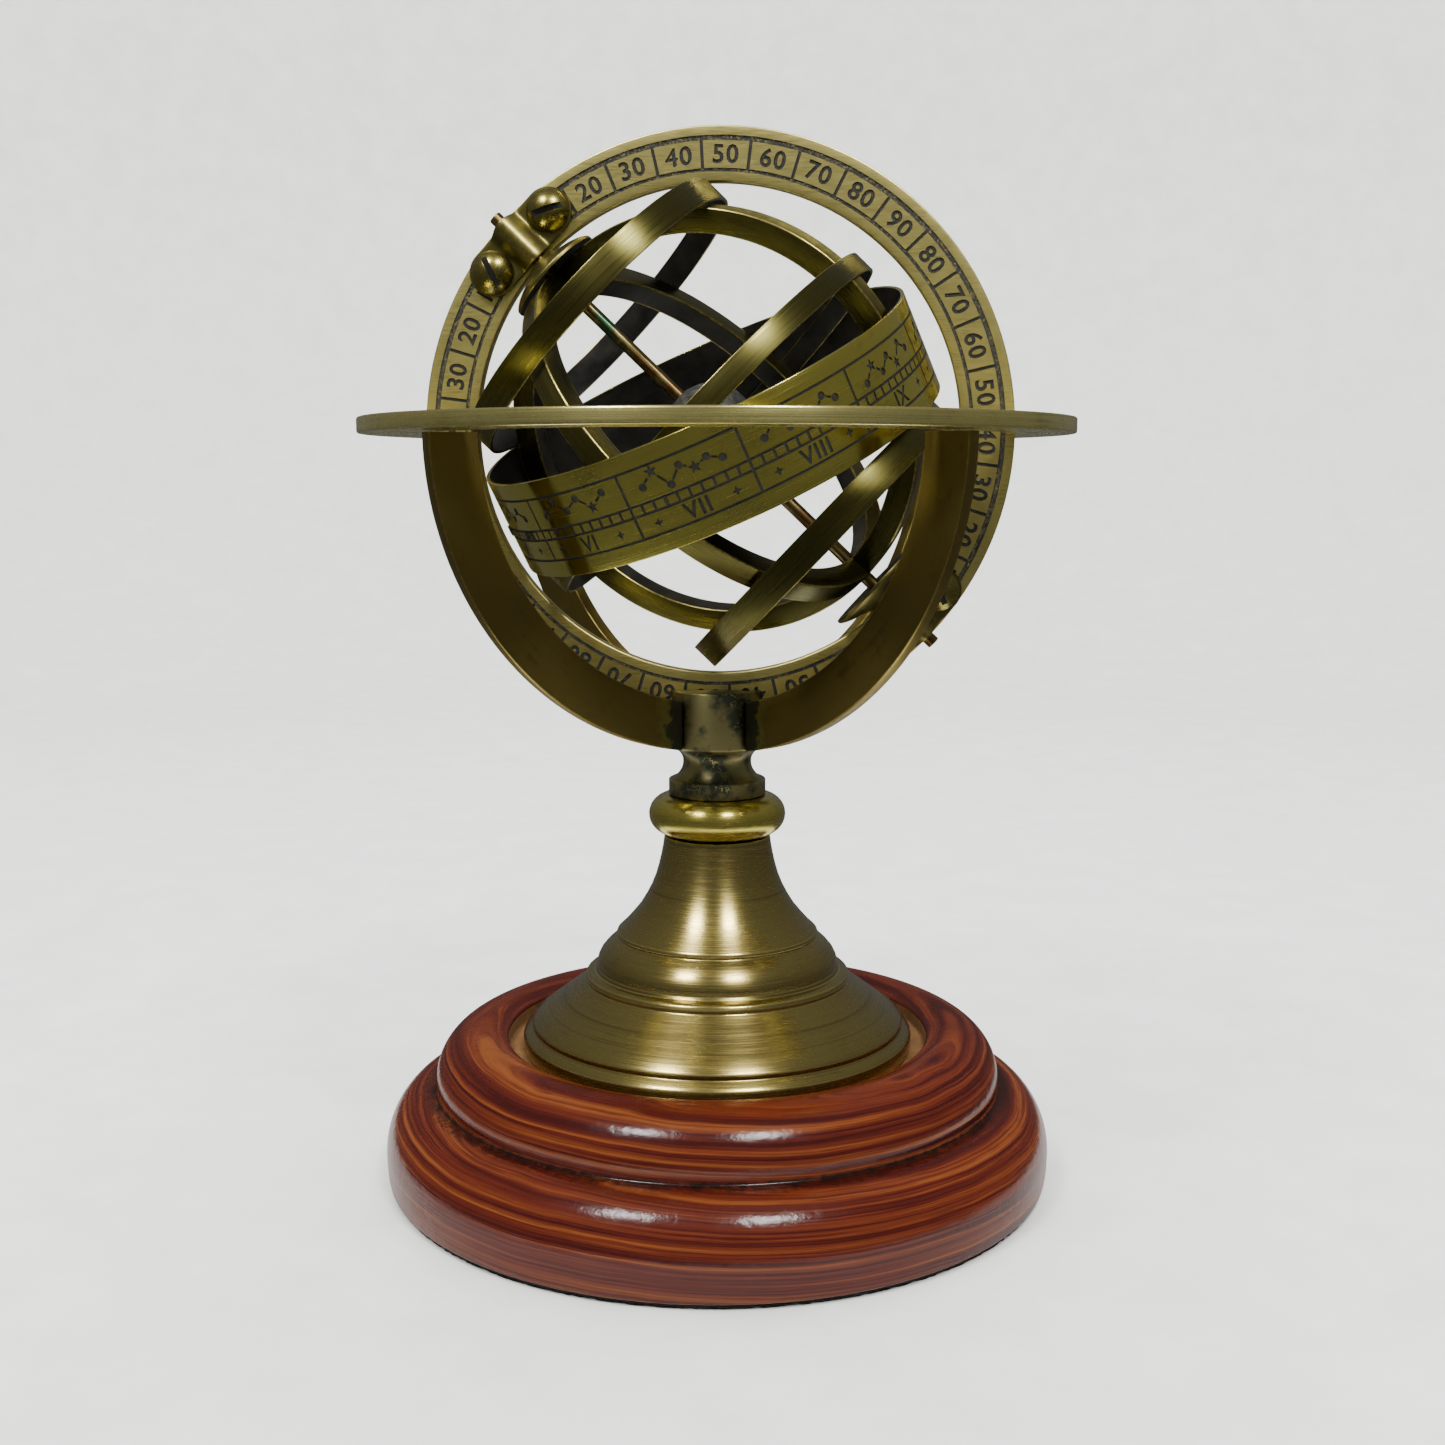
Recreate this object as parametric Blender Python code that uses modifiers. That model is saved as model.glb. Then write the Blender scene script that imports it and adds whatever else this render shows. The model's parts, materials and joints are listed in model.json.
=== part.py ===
"""Desk armillary sphere: brass rings in a four-armed cradle, on a turned stem and a wooden base.

Metres, +Z up, origin at the middle of the felt underside. The meridian ring stands in the XZ
plane, with the celestial pole at the upper left (-X, +Z) and the front of the object facing -Y.
"""

import math

import bmesh
import bpy
from mathutils import Matrix, Vector

MM = 0.001
GAP = 0.3 * MM

# Meridian ring: a flat annulus, standing in the post's slot.
RING_CENTRE_Z = 144.25 * MM
MERIDIAN_OUTER = 55.75 * MM
MERIDIAN_INNER = 45.65 * MM
MERIDIAN_THICK = 3.0 * MM
MERIDIAN_MID = (MERIDIAN_OUTER + MERIDIAN_INNER) / 2

# Horizon ring: a flat annulus, with a notch at each side where the meridian passes.
HORIZON_OUTER = 66.9 * MM
HORIZON_INNER = 54.0 * MM
HORIZON_THICK = 2.9 * MM
HORIZON_BOTTOM = RING_CENTRE_Z - 0.6 * MM

# Cradle: four flat quarter-circle arms, from the post up to the horizon ring.
ARM_INNER = 51.0 * MM
ARM_OUTER = 60.4 * MM
ARM_THICK = 2.8 * MM
ARM_CENTRE_Z = RING_CENTRE_Z - 0.4 * MM
ARM_AZIMUTH = math.radians(40)

# Polar axis, which runs just in front of the meridian ring's face, under the two straps.
POLE_ELEVATION = math.radians(43.7)
POLE = Vector((-math.cos(POLE_ELEVATION), 0, math.sin(POLE_ELEVATION)))
AXLE_RADIUS = 1.25 * MM
AXLE_HALF = 57.2 * MM
BORE_RADIUS = AXLE_RADIUS + GAP
AXLE_Y = -(MERIDIAN_THICK / 2 + GAP + AXLE_RADIUS)

# Pole straps and their round-head screws.
STRAP_THICK = 1.0 * MM
STRAP_END_RADIUS = 4.4 * MM
STRAP_REACH = 7.7 * MM
HUMP_RADIUS = 2.5 * MM
SCREW_HEAD_RADIUS = 4.05 * MM
SCREW_HEAD_HEIGHT = 2.2 * MM
SCREW_SHANK_RADIUS = 1.5 * MM
SCREW_HOLE_RADIUS = SCREW_SHANK_RADIUS + GAP
SLOT_WIDTH = 1.1 * MM
SLOT_DEPTH = 1.0 * MM
SLOT_ANGLES = {"a": math.radians(-18.5), "b": math.radians(60.5)}

# Cage of rings round the axle, turned about the pole as it stands. It sits a little way along the
# axle from the ring centre, towards the north pole; the caps stay even about the ring centre.
CAGE_TURN = math.radians(23.5)
CAGE_SHIFT = 1.1 * MM
COLURE_OUTER = 40.4 * MM
COLURE_INNER = 35.9 * MM
COLURE_WIDTH = 4.4 * MM
STRIP_THICK = 0.6 * MM
EQUATOR_INNER = COLURE_OUTER + 0.15 * MM
EQUATOR_WIDTH = 4.2 * MM
PARALLEL_INNER = 31.3 * MM
PARALLEL_WIDTH = 5.3 * MM
PARALLEL_HEIGHT = 28.95 * MM
ZODIAC_INNER = EQUATOR_INNER + STRIP_THICK + GAP
ZODIAC_THICK = 0.7 * MM
ZODIAC_WIDTH = 18.3 * MM
ZODIAC_TILT = math.radians(26.8)
ZODIAC_NODE = math.radians(-58.1)
CAP_RADIUS = 9.7 * MM
CAP_RIM_HEIGHT = 41.2 * MM
CAP_TOP_HEIGHT = 45.1 * MM
EARTH_RADIUS = 8.3 * MM

# Turned column, stacked on the threaded tie rod.
POST_RADIUS = 8.8 * MM
POST_TOP = 95.2 * MM
POST_FLANGE = 84.3 * MM
COLLAR_RADIUS = 9.4 * MM
COLLAR_TOP = 77.8 * MM
COLLAR_BOTTOM = 74.9 * MM
KNOB_RADIUS = 13.3 * MM
KNOB_BOTTOM = 67.0 * MM
FOOT_RADIUS = 38.2 * MM
ROD_RADIUS = 2.2 * MM
ROD_HOLE = ROD_RADIUS + GAP
ROD_BOTTOM = 3.0 * MM
ROD_TOP = 83.0 * MM
WASHER_RADIUS = 7.5 * MM
WASHER_THICK = 1.2 * MM
NUT_RADIUS = 4.6 * MM
NUT_HOLE = ROD_HOLE / math.cos(math.radians(30))
NUT_HEIGHT = 3.4 * MM

# Wooden base and its felt.
WOOD_RADIUS = 65.0 * MM
WOOD_RIM_RADIUS = 41.2 * MM
WOOD_TOP = 28.2 * MM
RECESS_FLOOR = 24.8 * MM
COUNTERBORE_RADIUS = 9.0 * MM
COUNTERBORE_TOP = 9.0 * MM
FELT_RADIUS = 63.8 * MM
FELT_THICK = 0.7 * MM

BIG_STEPS = 48
SMALL_STEPS = 24


def clear_scene():
    for old in list(bpy.data.objects):
        bpy.data.objects.remove(old)


def new_collection(name):
    made = bpy.data.collections.new(name)
    bpy.context.scene.collection.children.link(made)
    return made


def new_material(name, colour, roughness, metallic):
    made = bpy.data.materials.new(name)
    made.use_nodes = True
    shader = made.node_tree.nodes["Principled BSDF"]
    shader.inputs["Base Color"].default_value = (*colour, 1)
    shader.inputs["Roughness"].default_value = roughness
    shader.inputs["Metallic"].default_value = metallic
    made.diffuse_color = (*colour, 1)
    return made


clear_scene()
PARTS = new_collection("armillary_sphere")
CUTTERS = new_collection("cutters")

BRASS = new_material("antique_brass", (0.36, 0.27, 0.10), 0.38, 1.0)
BRIGHT_BRASS = new_material("bright_brass", (0.55, 0.42, 0.14), 0.3, 1.0)
DARK_BRASS = new_material("dark_brass", (0.10, 0.085, 0.05), 0.5, 1.0)
STEEL = new_material("zinc_steel", (0.5, 0.5, 0.5), 0.4, 1.0)
WOOD = new_material("varnished_wood", (0.30, 0.06, 0.02), 0.25, 0.0)
FELT = new_material("black_felt", (0.015, 0.015, 0.015), 0.95, 0.0)
EARTH = new_material("dark_metal", (0.12, 0.12, 0.11), 0.55, 0.8)


def add_object(name, data, material, matrix=None, parent=None):
    """Links an object into the part, placed by a world matrix."""
    made = bpy.data.objects.new(name, data)
    PARTS.objects.link(made)
    data.materials.append(material)
    if parent:
        made.parent = parent
        made.matrix_parent_inverse = parent.matrix_world.inverted()
    made.matrix_world = matrix or Matrix()
    return made


def add_empty(name, location, parent=None):
    made = bpy.data.objects.new(name, None)
    PARTS.objects.link(made)
    made.empty_display_size = 0.01
    made.parent = parent
    if parent:
        made.matrix_parent_inverse = parent.matrix_world.inverted()
    made.location = location
    bpy.context.view_layer.update()
    return made


def shade(mesh):
    mesh.shade_smooth()
    mesh.set_sharp_from_angle(angle=math.radians(32))


def turned(name, outline, material, steps=BIG_STEPS, closed=False, matrix=None, parent=None):
    """A solid of revolution about local Z: (radius, height) points down the outer side."""
    mesh = bpy.data.meshes.new(name)
    points = [(radius, 0, height) for radius, height in outline]
    edges = [(i, i + 1) for i in range(len(points) - 1)]
    if closed:
        edges.append((len(points) - 1, 0))
    mesh.from_pydata(points, edges, [])
    made = add_object(name, mesh, material, matrix, parent)
    screw = made.modifiers.new("turn", "SCREW")
    screw.axis = "Z"
    screw.angle = 2 * math.pi
    screw.steps = steps
    screw.render_steps = steps
    screw.use_merge_vertices = True
    screw.merge_threshold = 1e-6
    screw.use_smooth_shade = True
    return made


def band(name, inner, outer, low, high, material, matrix, parent, steps=BIG_STEPS):
    """A ring of rectangular section about local Z."""
    outline = [(inner, high), (outer, high), (outer, low), (inner, low)]
    return turned(name, outline, material, steps, True, matrix, parent)


def plate(name, outline, thickness, material, matrix, parent=None):
    """A flat outline in local XY, centred on local Z = 0."""
    curve = bpy.data.curves.new(name, "CURVE")
    curve.dimensions = "2D"
    curve.fill_mode = "BOTH"
    curve.extrude = thickness / 2
    spline = curve.splines.new("POLY")
    spline.points.add(len(outline) - 1)
    for point, (x, y) in zip(spline.points, outline):
        point.co = (x, y, 0, 1)
    spline.use_cyclic_u = True
    return add_object(name, curve, material, matrix, parent)


def arc(radius, start, end, count, centre=(0, 0), stretch=1.0):
    """Points along an arc, from the start angle to the end angle, stretched along the second axis."""
    angles = [start + (end - start) * i / count for i in range(count + 1)]
    rise = radius * stretch
    return [(centre[0] + radius * math.cos(a), centre[1] + rise * math.sin(a)) for a in angles]


def cylinder(name, radius, low, high, matrix, steps=24):
    """A cutter cylinder about local Z."""
    mesh = bpy.data.meshes.new(name)
    builder = bmesh.new()
    place = matrix @ Matrix.Translation((0, 0, (low + high) / 2))
    bmesh.ops.create_cone(
        builder, cap_ends=True, segments=steps, radius1=radius, radius2=radius,
        depth=high - low, matrix=place,
    )
    builder.to_mesh(mesh)
    builder.free()
    return add_cutter(name, mesh)


def block(name, size, matrix):
    """A cutter box, centred on the matrix."""
    mesh = bpy.data.meshes.new(name)
    builder = bmesh.new()
    bmesh.ops.create_cube(builder, size=1, matrix=matrix @ Matrix.Diagonal((*size, 1)))
    builder.to_mesh(mesh)
    builder.free()
    return add_cutter(name, mesh)


def add_cutter(name, mesh):
    made = bpy.data.objects.new(name, mesh)
    CUTTERS.objects.link(made)
    made.hide_render = True
    made.display_type = "WIRE"
    return made


def cut(target, *cutters):
    for cutter in cutters:
        boolean = target.modifiers.new("cut_" + cutter.name, "BOOLEAN")
        boolean.operation = "DIFFERENCE"
        boolean.object = cutter
    return target


def join(target, other):
    boolean = target.modifiers.new("join_" + other.name, "BOOLEAN")
    boolean.operation = "UNION"
    boolean.object = other
    return target


def frame_from(x_axis, y_axis, z_axis, origin):
    """The world matrix of a local frame."""
    matrix = Matrix((x_axis, y_axis, z_axis)).transposed().to_4x4()
    matrix.translation = origin
    return matrix


def frame_about(axis, origin, towards):
    """A local frame with Z along the axis, and X in the plane of the axis and towards."""
    z_axis = axis.normalized()
    x_axis = (towards - z_axis * towards.dot(z_axis)).normalized()
    return frame_from(x_axis, z_axis.cross(x_axis), z_axis, origin)


# The pivots and the frames that the moving pieces stand in.
RING_CENTRE = Vector((0, 0, RING_CENTRE_Z))
AXLE_CENTRE = Vector((0, AXLE_Y, RING_CENTRE_Z))
CAGE_CENTRE = AXLE_CENTRE + POLE * CAGE_SHIFT
FRONT = Vector((0, -1, 0))
EAST = POLE.cross(FRONT)
MERIDIAN_FRAME = frame_from(Vector((1, 0, 0)), Vector((0, 0, 1)), FRONT, RING_CENTRE)
TURN_A = EAST * math.cos(CAGE_TURN) + FRONT * math.sin(CAGE_TURN)
TURN_B = FRONT * math.cos(CAGE_TURN) - EAST * math.sin(CAGE_TURN)
CAGE_FRAME = frame_about(POLE, CAGE_CENTRE, TURN_A)
AXLE_FRAME = frame_about(POLE, AXLE_CENTRE, TURN_A)

meridian_pivot = add_empty("meridian_pivot", RING_CENTRE)
sphere_pivot = add_empty("sphere_pivot", AXLE_CENTRE, meridian_pivot)


def make_base():
    bead_centre = (WOOD_RADIUS - 9.5 * MM, 6.5 * MM)
    shoulder_centre = (WOOD_RIM_RADIUS + 5.0 * MM, 19.9 * MM)
    bore = ROD_HOLE + 0.4 * MM
    underside = FELT_THICK + GAP
    top_arc = arc(9.0 * MM, math.radians(115), math.radians(-8), 6, shoulder_centre)
    bead_arc = arc(9.5 * MM, math.radians(90), 0, 6, bead_centre, 1.19)
    outline = [
        (bore, RECESS_FLOOR),
        (WOOD_RIM_RADIUS - 0.2 * MM, RECESS_FLOOR),
        (WOOD_RIM_RADIUS, WOOD_TOP - 0.5 * MM),
        *top_arc,
        *bead_arc,
        (WOOD_RADIUS - 0.2 * MM, 2.6 * MM),
        (WOOD_RADIUS - 0.5 * MM, underside),
        (COUNTERBORE_RADIUS, underside),
        (COUNTERBORE_RADIUS, COUNTERBORE_TOP),
        (bore, COUNTERBORE_TOP),
    ]
    turned("wood_base", outline, WOOD, BIG_STEPS, True)
    felt = [(0, FELT_THICK), (FELT_RADIUS, FELT_THICK), (FELT_RADIUS, 0), (0, 0)]
    turned("felt_pad", felt, FELT, BIG_STEPS)


def make_foot():
    bottom = RECESS_FLOOR + GAP
    top = KNOB_BOTTOM - GAP
    wall = 2.2 * MM
    outer = [
        (10.3, 66.7), (10.9, 63.2), (12.0, 58.9), (13.9, 54.7), (16.6, 50.9), (19.6, 47.6),
        (19.5, 46.7), (21.6, 45.0), (23.3, 42.8), (23.5, 40.8), (24.0, 40.0), (25.6, 39.7),
        (26.0, 38.9), (25.9, 38.2), (31.2, 34.2), (36.2, 30.6), (36.3, 29.9), (36.2, 29.2),
        (37.9, 28.2),
    ]
    outline = [(ROD_HOLE, top), *[(r * MM, z * MM) for r, z in outer]]
    outline += [
        (FOOT_RADIUS, 27.4 * MM),
        (FOOT_RADIUS, bottom),
        (FOOT_RADIUS - wall, bottom),
        (31.0 * MM, 31.0 * MM),
        (22.5 * MM, 37.0 * MM),
        (16.0 * MM, 46.0 * MM),
        (9.5 * MM, 57.0 * MM),
        (7.5 * MM, 62.0 * MM),
        (ROD_HOLE, 62.0 * MM),
    ]
    turned("brass_foot", outline, BRASS, 40, True)


def make_knob():
    middle = (KNOB_BOTTOM + COLLAR_BOTTOM) / 2
    half = (COLLAR_BOTTOM - GAP - KNOB_BOTTOM) / 2
    bead = arc(half, math.radians(90), math.radians(-90), 8, (KNOB_RADIUS - half, middle))
    outline = [(ROD_HOLE, bead[0][1]), *bead, (ROD_HOLE, bead[-1][1])]
    turned("stem_knob", outline, BRASS, SMALL_STEPS, True)


def make_post():
    """The collar, the cove neck and the slotted post, turned from one bar."""
    cove = [(8.6, 78.1), (7.4, 79.0), (6.7, 80.4), (6.6, 81.6), (7.1, 82.8), (8.2, 83.8)]
    outline = [
        (0, POST_TOP),
        (POST_RADIUS, POST_TOP),
        (POST_RADIUS, POST_FLANGE),
        *[(r * MM, z * MM) for r, z in reversed(cove)],
        (COLLAR_RADIUS, COLLAR_TOP),
        (COLLAR_RADIUS, COLLAR_BOTTOM),
        (ROD_HOLE, COLLAR_BOTTOM),
        (ROD_HOLE, ROD_TOP + GAP),
        (0, ROD_TOP + GAP),
    ]
    post = turned("saddle_post", outline, DARK_BRASS, SMALL_STEPS)
    slot_floor = RING_CENTRE_Z - MERIDIAN_OUTER - GAP
    slot_height = POST_TOP - slot_floor + 4 * MM
    slot_place = Matrix.Translation((0, 0, slot_floor + slot_height / 2))
    slot = block("post_slot", (4 * POST_RADIUS, MERIDIAN_THICK + 2 * GAP, slot_height), slot_place)
    cut(post, slot)


def make_fastening():
    """The threaded rod through the column, with its washer and nut under the wood."""
    rod = [(0, ROD_TOP), (ROD_RADIUS, ROD_TOP), (ROD_RADIUS, ROD_BOTTOM), (0, ROD_BOTTOM)]
    turned("tie_rod", rod, STEEL, 16)
    washer_top = COUNTERBORE_TOP - GAP
    washer_low = washer_top - WASHER_THICK
    band("base_washer", ROD_HOLE, WASHER_RADIUS, washer_low, washer_top, STEEL, None, None, 24)
    nut_top = washer_low - GAP
    band("base_nut", NUT_HOLE, NUT_RADIUS, nut_top - NUT_HEIGHT, nut_top, STEEL, None, None, 6)


def make_horizon():
    top = HORIZON_BOTTOM + HORIZON_THICK
    ring = band("horizon_ring", HORIZON_INNER, HORIZON_OUTER, HORIZON_BOTTOM, top, BRIGHT_BRASS,
                None, None)
    notch_depth = MERIDIAN_OUTER + GAP
    notch_size = (2 * notch_depth, MERIDIAN_THICK + 2 * GAP, 4 * HORIZON_THICK)
    notch = block("horizon_notches", notch_size, Matrix.Translation((0, 0, HORIZON_BOTTOM)))
    cut(ring, notch)


def make_arms():
    """Quarter-circle plates, in vertical planes through the column's axis."""
    top = math.asin((HORIZON_BOTTOM - GAP - ARM_CENTRE_Z) / ARM_OUTER)
    reach = POST_RADIUS + GAP
    outer_start = -math.acos(reach / ARM_OUTER)
    inner_start = -math.acos(reach / ARM_INNER)
    outline = arc(ARM_OUTER, outer_start, top, 20) + arc(ARM_INNER, top, inner_start, 20)
    azimuths = {
        "front_right": -ARM_AZIMUTH,
        "front_left": math.pi + ARM_AZIMUTH,
        "back_left": math.pi - ARM_AZIMUTH,
        "back_right": ARM_AZIMUTH,
    }
    for place, azimuth in azimuths.items():
        out = Vector((math.cos(azimuth), math.sin(azimuth), 0))
        up = Vector((0, 0, 1))
        matrix = frame_from(out, up, out.cross(up), Vector((0, 0, ARM_CENTRE_Z)))
        plate("cradle_arm_" + place, outline, ARM_THICK, BRASS, matrix)


def strap_frame(pole):
    """X along the ring, Y outwards along the axle, Z out of the ring's front face."""
    origin = RING_CENTRE + pole * MERIDIAN_MID + FRONT * (MERIDIAN_THICK / 2)
    return frame_from(pole.cross(FRONT), pole, FRONT, origin)


POLES = {"north": POLE, "south": -POLE}


def make_meridian():
    half = MERIDIAN_THICK / 2
    ring = band("meridian_ring", MERIDIAN_INNER, MERIDIAN_OUTER, -half, half, BRIGHT_BRASS,
                MERIDIAN_FRAME, meridian_pivot, 64)
    for end, pole in POLES.items():
        matrix = strap_frame(pole)
        for side in (-1, 1):
            place = matrix @ Matrix.Translation((side * STRAP_REACH, 0, 0))
            hole = cylinder(f"screw_hole_{end}_{side + 1}", SCREW_HOLE_RADIUS, -2 * MERIDIAN_THICK,
                            2 * MERIDIAN_THICK, place, 16)
            cut(ring, hole)
        make_strap(end, matrix)
        make_screws(end, matrix)


def make_strap(end, matrix):
    """A plate with round ends, humped over the axle, with a hole for each screw."""
    right = arc(STRAP_END_RADIUS, -math.pi / 2, math.pi / 2, 10, (STRAP_REACH, 0))
    left = arc(STRAP_END_RADIUS, math.pi / 2, 3 * math.pi / 2, 10, (-STRAP_REACH, 0))
    middle = GAP + STRAP_THICK / 2
    name = end + "_strap"
    flat = plate(name, right + left, STRAP_THICK, DARK_BRASS, Matrix())
    strap = mesh_of(flat, DARK_BRASS, matrix @ Matrix.Translation((0, 0, middle)), meridian_pivot)
    axle_height = GAP + AXLE_RADIUS
    lie = Matrix.Translation((0, 0, axle_height)) @ Matrix.Rotation(math.pi / 2, 4, "X")
    half = STRAP_END_RADIUS + 0.4 * MM
    hump = cylinder(end + "_hump", HUMP_RADIUS, -half, half, matrix @ lie, 28)
    join(strap, hump)
    under = block(end + "_under", (20 * MM, 20 * MM, 6 * MM),
                  matrix @ Matrix.Translation((0, 0, GAP - 3 * MM)))
    tunnel = cylinder(end + "_tunnel", BORE_RADIUS, -2 * half, 2 * half, matrix @ lie, 20)
    cut(strap, under, tunnel)
    for side in (-1, 1):
        place = matrix @ Matrix.Translation((side * STRAP_REACH, 0, 0))
        cut(strap, cylinder(f"{end}_strap_hole_{side + 1}", SCREW_HOLE_RADIUS, -4 * MM, 8 * MM,
                            place, 16))


def mesh_of(flat, material, matrix, parent):
    """Turns a plate curve into a mesh object with welded caps."""
    bpy.context.view_layer.update()
    graph = bpy.context.evaluated_depsgraph_get()
    mesh = bpy.data.meshes.new_from_object(flat.evaluated_get(graph))
    name = flat.name
    bpy.data.objects.remove(flat)
    builder = bmesh.new()
    builder.from_mesh(mesh)
    bmesh.ops.remove_doubles(builder, verts=builder.verts, dist=1e-6)
    builder.to_mesh(mesh)
    builder.free()
    mesh.materials.clear()
    return add_object(name, mesh, material, matrix, parent)


def make_screws(end, matrix):
    """Round-head slotted screws, whose shanks end inside the ring."""
    seat = 2 * GAP + STRAP_THICK
    tip = 1.2 * MM - MERIDIAN_THICK
    sphere_radius = (SCREW_HEAD_RADIUS ** 2 + SCREW_HEAD_HEIGHT ** 2) / (2 * SCREW_HEAD_HEIGHT)
    rim_angle = math.asin(SCREW_HEAD_RADIUS / sphere_radius)
    crown = seat + SCREW_HEAD_HEIGHT
    dome = [(sphere_radius * math.sin(a), crown - sphere_radius * (1 - math.cos(a)))
            for a in [rim_angle * i / 4 for i in range(5)]]
    outline = [*dome, (SCREW_SHANK_RADIUS, seat), (SCREW_SHANK_RADIUS, tip), (0, tip)]
    for side, (letter, angle) in zip((-1, 1), SLOT_ANGLES.items()):
        place = matrix @ Matrix.Translation((side * STRAP_REACH, 0, 0))
        name = f"{end}_screw_{letter}"
        screw = turned(name, outline, DARK_BRASS, 16, False, place, meridian_pivot)
        turn = Matrix.Rotation(angle, 4, "Z")
        rise = Matrix.Translation((0, 0, crown - SLOT_DEPTH + 2 * MM))
        cut(screw, block(name + "_slot", (SLOT_WIDTH, 12 * MM, 4 * MM), place @ turn @ rise))


def make_axle():
    rod = [(0, AXLE_HALF), (AXLE_RADIUS, AXLE_HALF), (AXLE_RADIUS, -AXLE_HALF), (0, -AXLE_HALF)]
    turned("polar_axle", rod, BRASS, 16, False, AXLE_FRAME, sphere_pivot)
    ball_arc = arc(EARTH_RADIUS, math.acos(BORE_RADIUS / EARTH_RADIUS),
                   -math.acos(BORE_RADIUS / EARTH_RADIUS), 10)
    turned("earth_ball", ball_arc, EARTH, 20, True, CAGE_FRAME, sphere_pivot)
    bell = [
        (3.2 * MM, CAP_TOP_HEIGHT),
        (4.2 * MM, CAP_TOP_HEIGHT - 0.8 * MM),
        (6.2 * MM, CAP_TOP_HEIGHT - 1.5 * MM),
        (8.6 * MM, CAP_RIM_HEIGHT + 1.4 * MM),
        (CAP_RADIUS, CAP_RIM_HEIGHT + 0.7 * MM),
        (CAP_RADIUS, CAP_RIM_HEIGHT),
        (8.2 * MM, CAP_RIM_HEIGHT + 0.5 * MM),
        (5.0 * MM, CAP_TOP_HEIGHT - 2.4 * MM),
        (BORE_RADIUS, CAP_TOP_HEIGHT - 2.4 * MM),
        (BORE_RADIUS, CAP_TOP_HEIGHT),
    ]
    flip = Matrix.Rotation(math.pi, 4, "X")
    turned("north_cap", bell, DARK_BRASS, SMALL_STEPS, True, AXLE_FRAME, sphere_pivot)
    turned("south_cap", bell, DARK_BRASS, SMALL_STEPS, True, AXLE_FRAME @ flip, sphere_pivot)


def make_colures():
    """One whole ring through both poles, and a half ring on each side of it."""
    half = COLURE_WIDTH / 2
    whole = frame_about(TURN_B, CAGE_CENTRE, POLE)
    ring = band("solstitial_colure", COLURE_INNER, COLURE_OUTER, -half, half, BRASS, whole,
                sphere_pivot)
    bore = cylinder("axle_bore", BORE_RADIUS, -AXLE_HALF, AXLE_HALF, CAGE_FRAME, 16)
    cut(ring, bore)
    outer_end = math.acos((half + GAP) / COLURE_OUTER)
    inner_end = math.acos((half + GAP) / COLURE_INNER)
    outline = arc(COLURE_OUTER, -outer_end, outer_end, 32)
    outline += arc(COLURE_INNER, inner_end, -inner_end, 32)
    for name, out in (("front", TURN_B), ("back", -TURN_B)):
        matrix = frame_from(out, POLE, out.cross(POLE), CAGE_CENTRE)
        plate(f"equinoctial_colure_{name}", outline, COLURE_WIDTH, BRASS, matrix, sphere_pivot)


def make_parallels():
    half = EQUATOR_WIDTH / 2
    band("equator_ring", EQUATOR_INNER, EQUATOR_INNER + STRIP_THICK, -half, half, BRIGHT_BRASS,
         CAGE_FRAME, sphere_pivot)
    half = PARALLEL_WIDTH / 2
    for name, height in (("cancer", PARALLEL_HEIGHT), ("capricorn", -PARALLEL_HEIGHT)):
        band(f"tropic_of_{name}_ring", PARALLEL_INNER, PARALLEL_INNER + STRIP_THICK, height - half,
             height + half, BRASS, CAGE_FRAME, sphere_pivot)


def make_zodiac():
    node = EAST * math.cos(ZODIAC_NODE) + FRONT * math.sin(ZODIAC_NODE)
    lean = FRONT * math.cos(ZODIAC_NODE) - EAST * math.sin(ZODIAC_NODE)
    axis = POLE * math.cos(ZODIAC_TILT) + lean * math.sin(ZODIAC_TILT)
    half = ZODIAC_WIDTH / 2
    band("zodiac_band", ZODIAC_INNER, ZODIAC_INNER + ZODIAC_THICK, -half, half, BRIGHT_BRASS,
         frame_about(axis, CAGE_CENTRE, node), sphere_pivot, 60)


make_base()
make_foot()
make_knob()
make_post()
make_fastening()
make_horizon()
make_arms()
make_meridian()
make_axle()
make_colures()
make_parallels()
make_zodiac()

for shaded in PARTS.objects:
    if shaded.type == "MESH":
        shade(shaded.data)
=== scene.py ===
"""Looks of the desk armillary sphere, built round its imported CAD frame.

Turned and swept pieces replace the faceted CAD nodes at the same sizes, with rounded edges,
engraved scales and node materials. Lengths are in metres, and MM turns millimetres into them.
"""

import json
import math
import random

import bmesh
import bpy
from mathutils import Matrix, Vector

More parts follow.
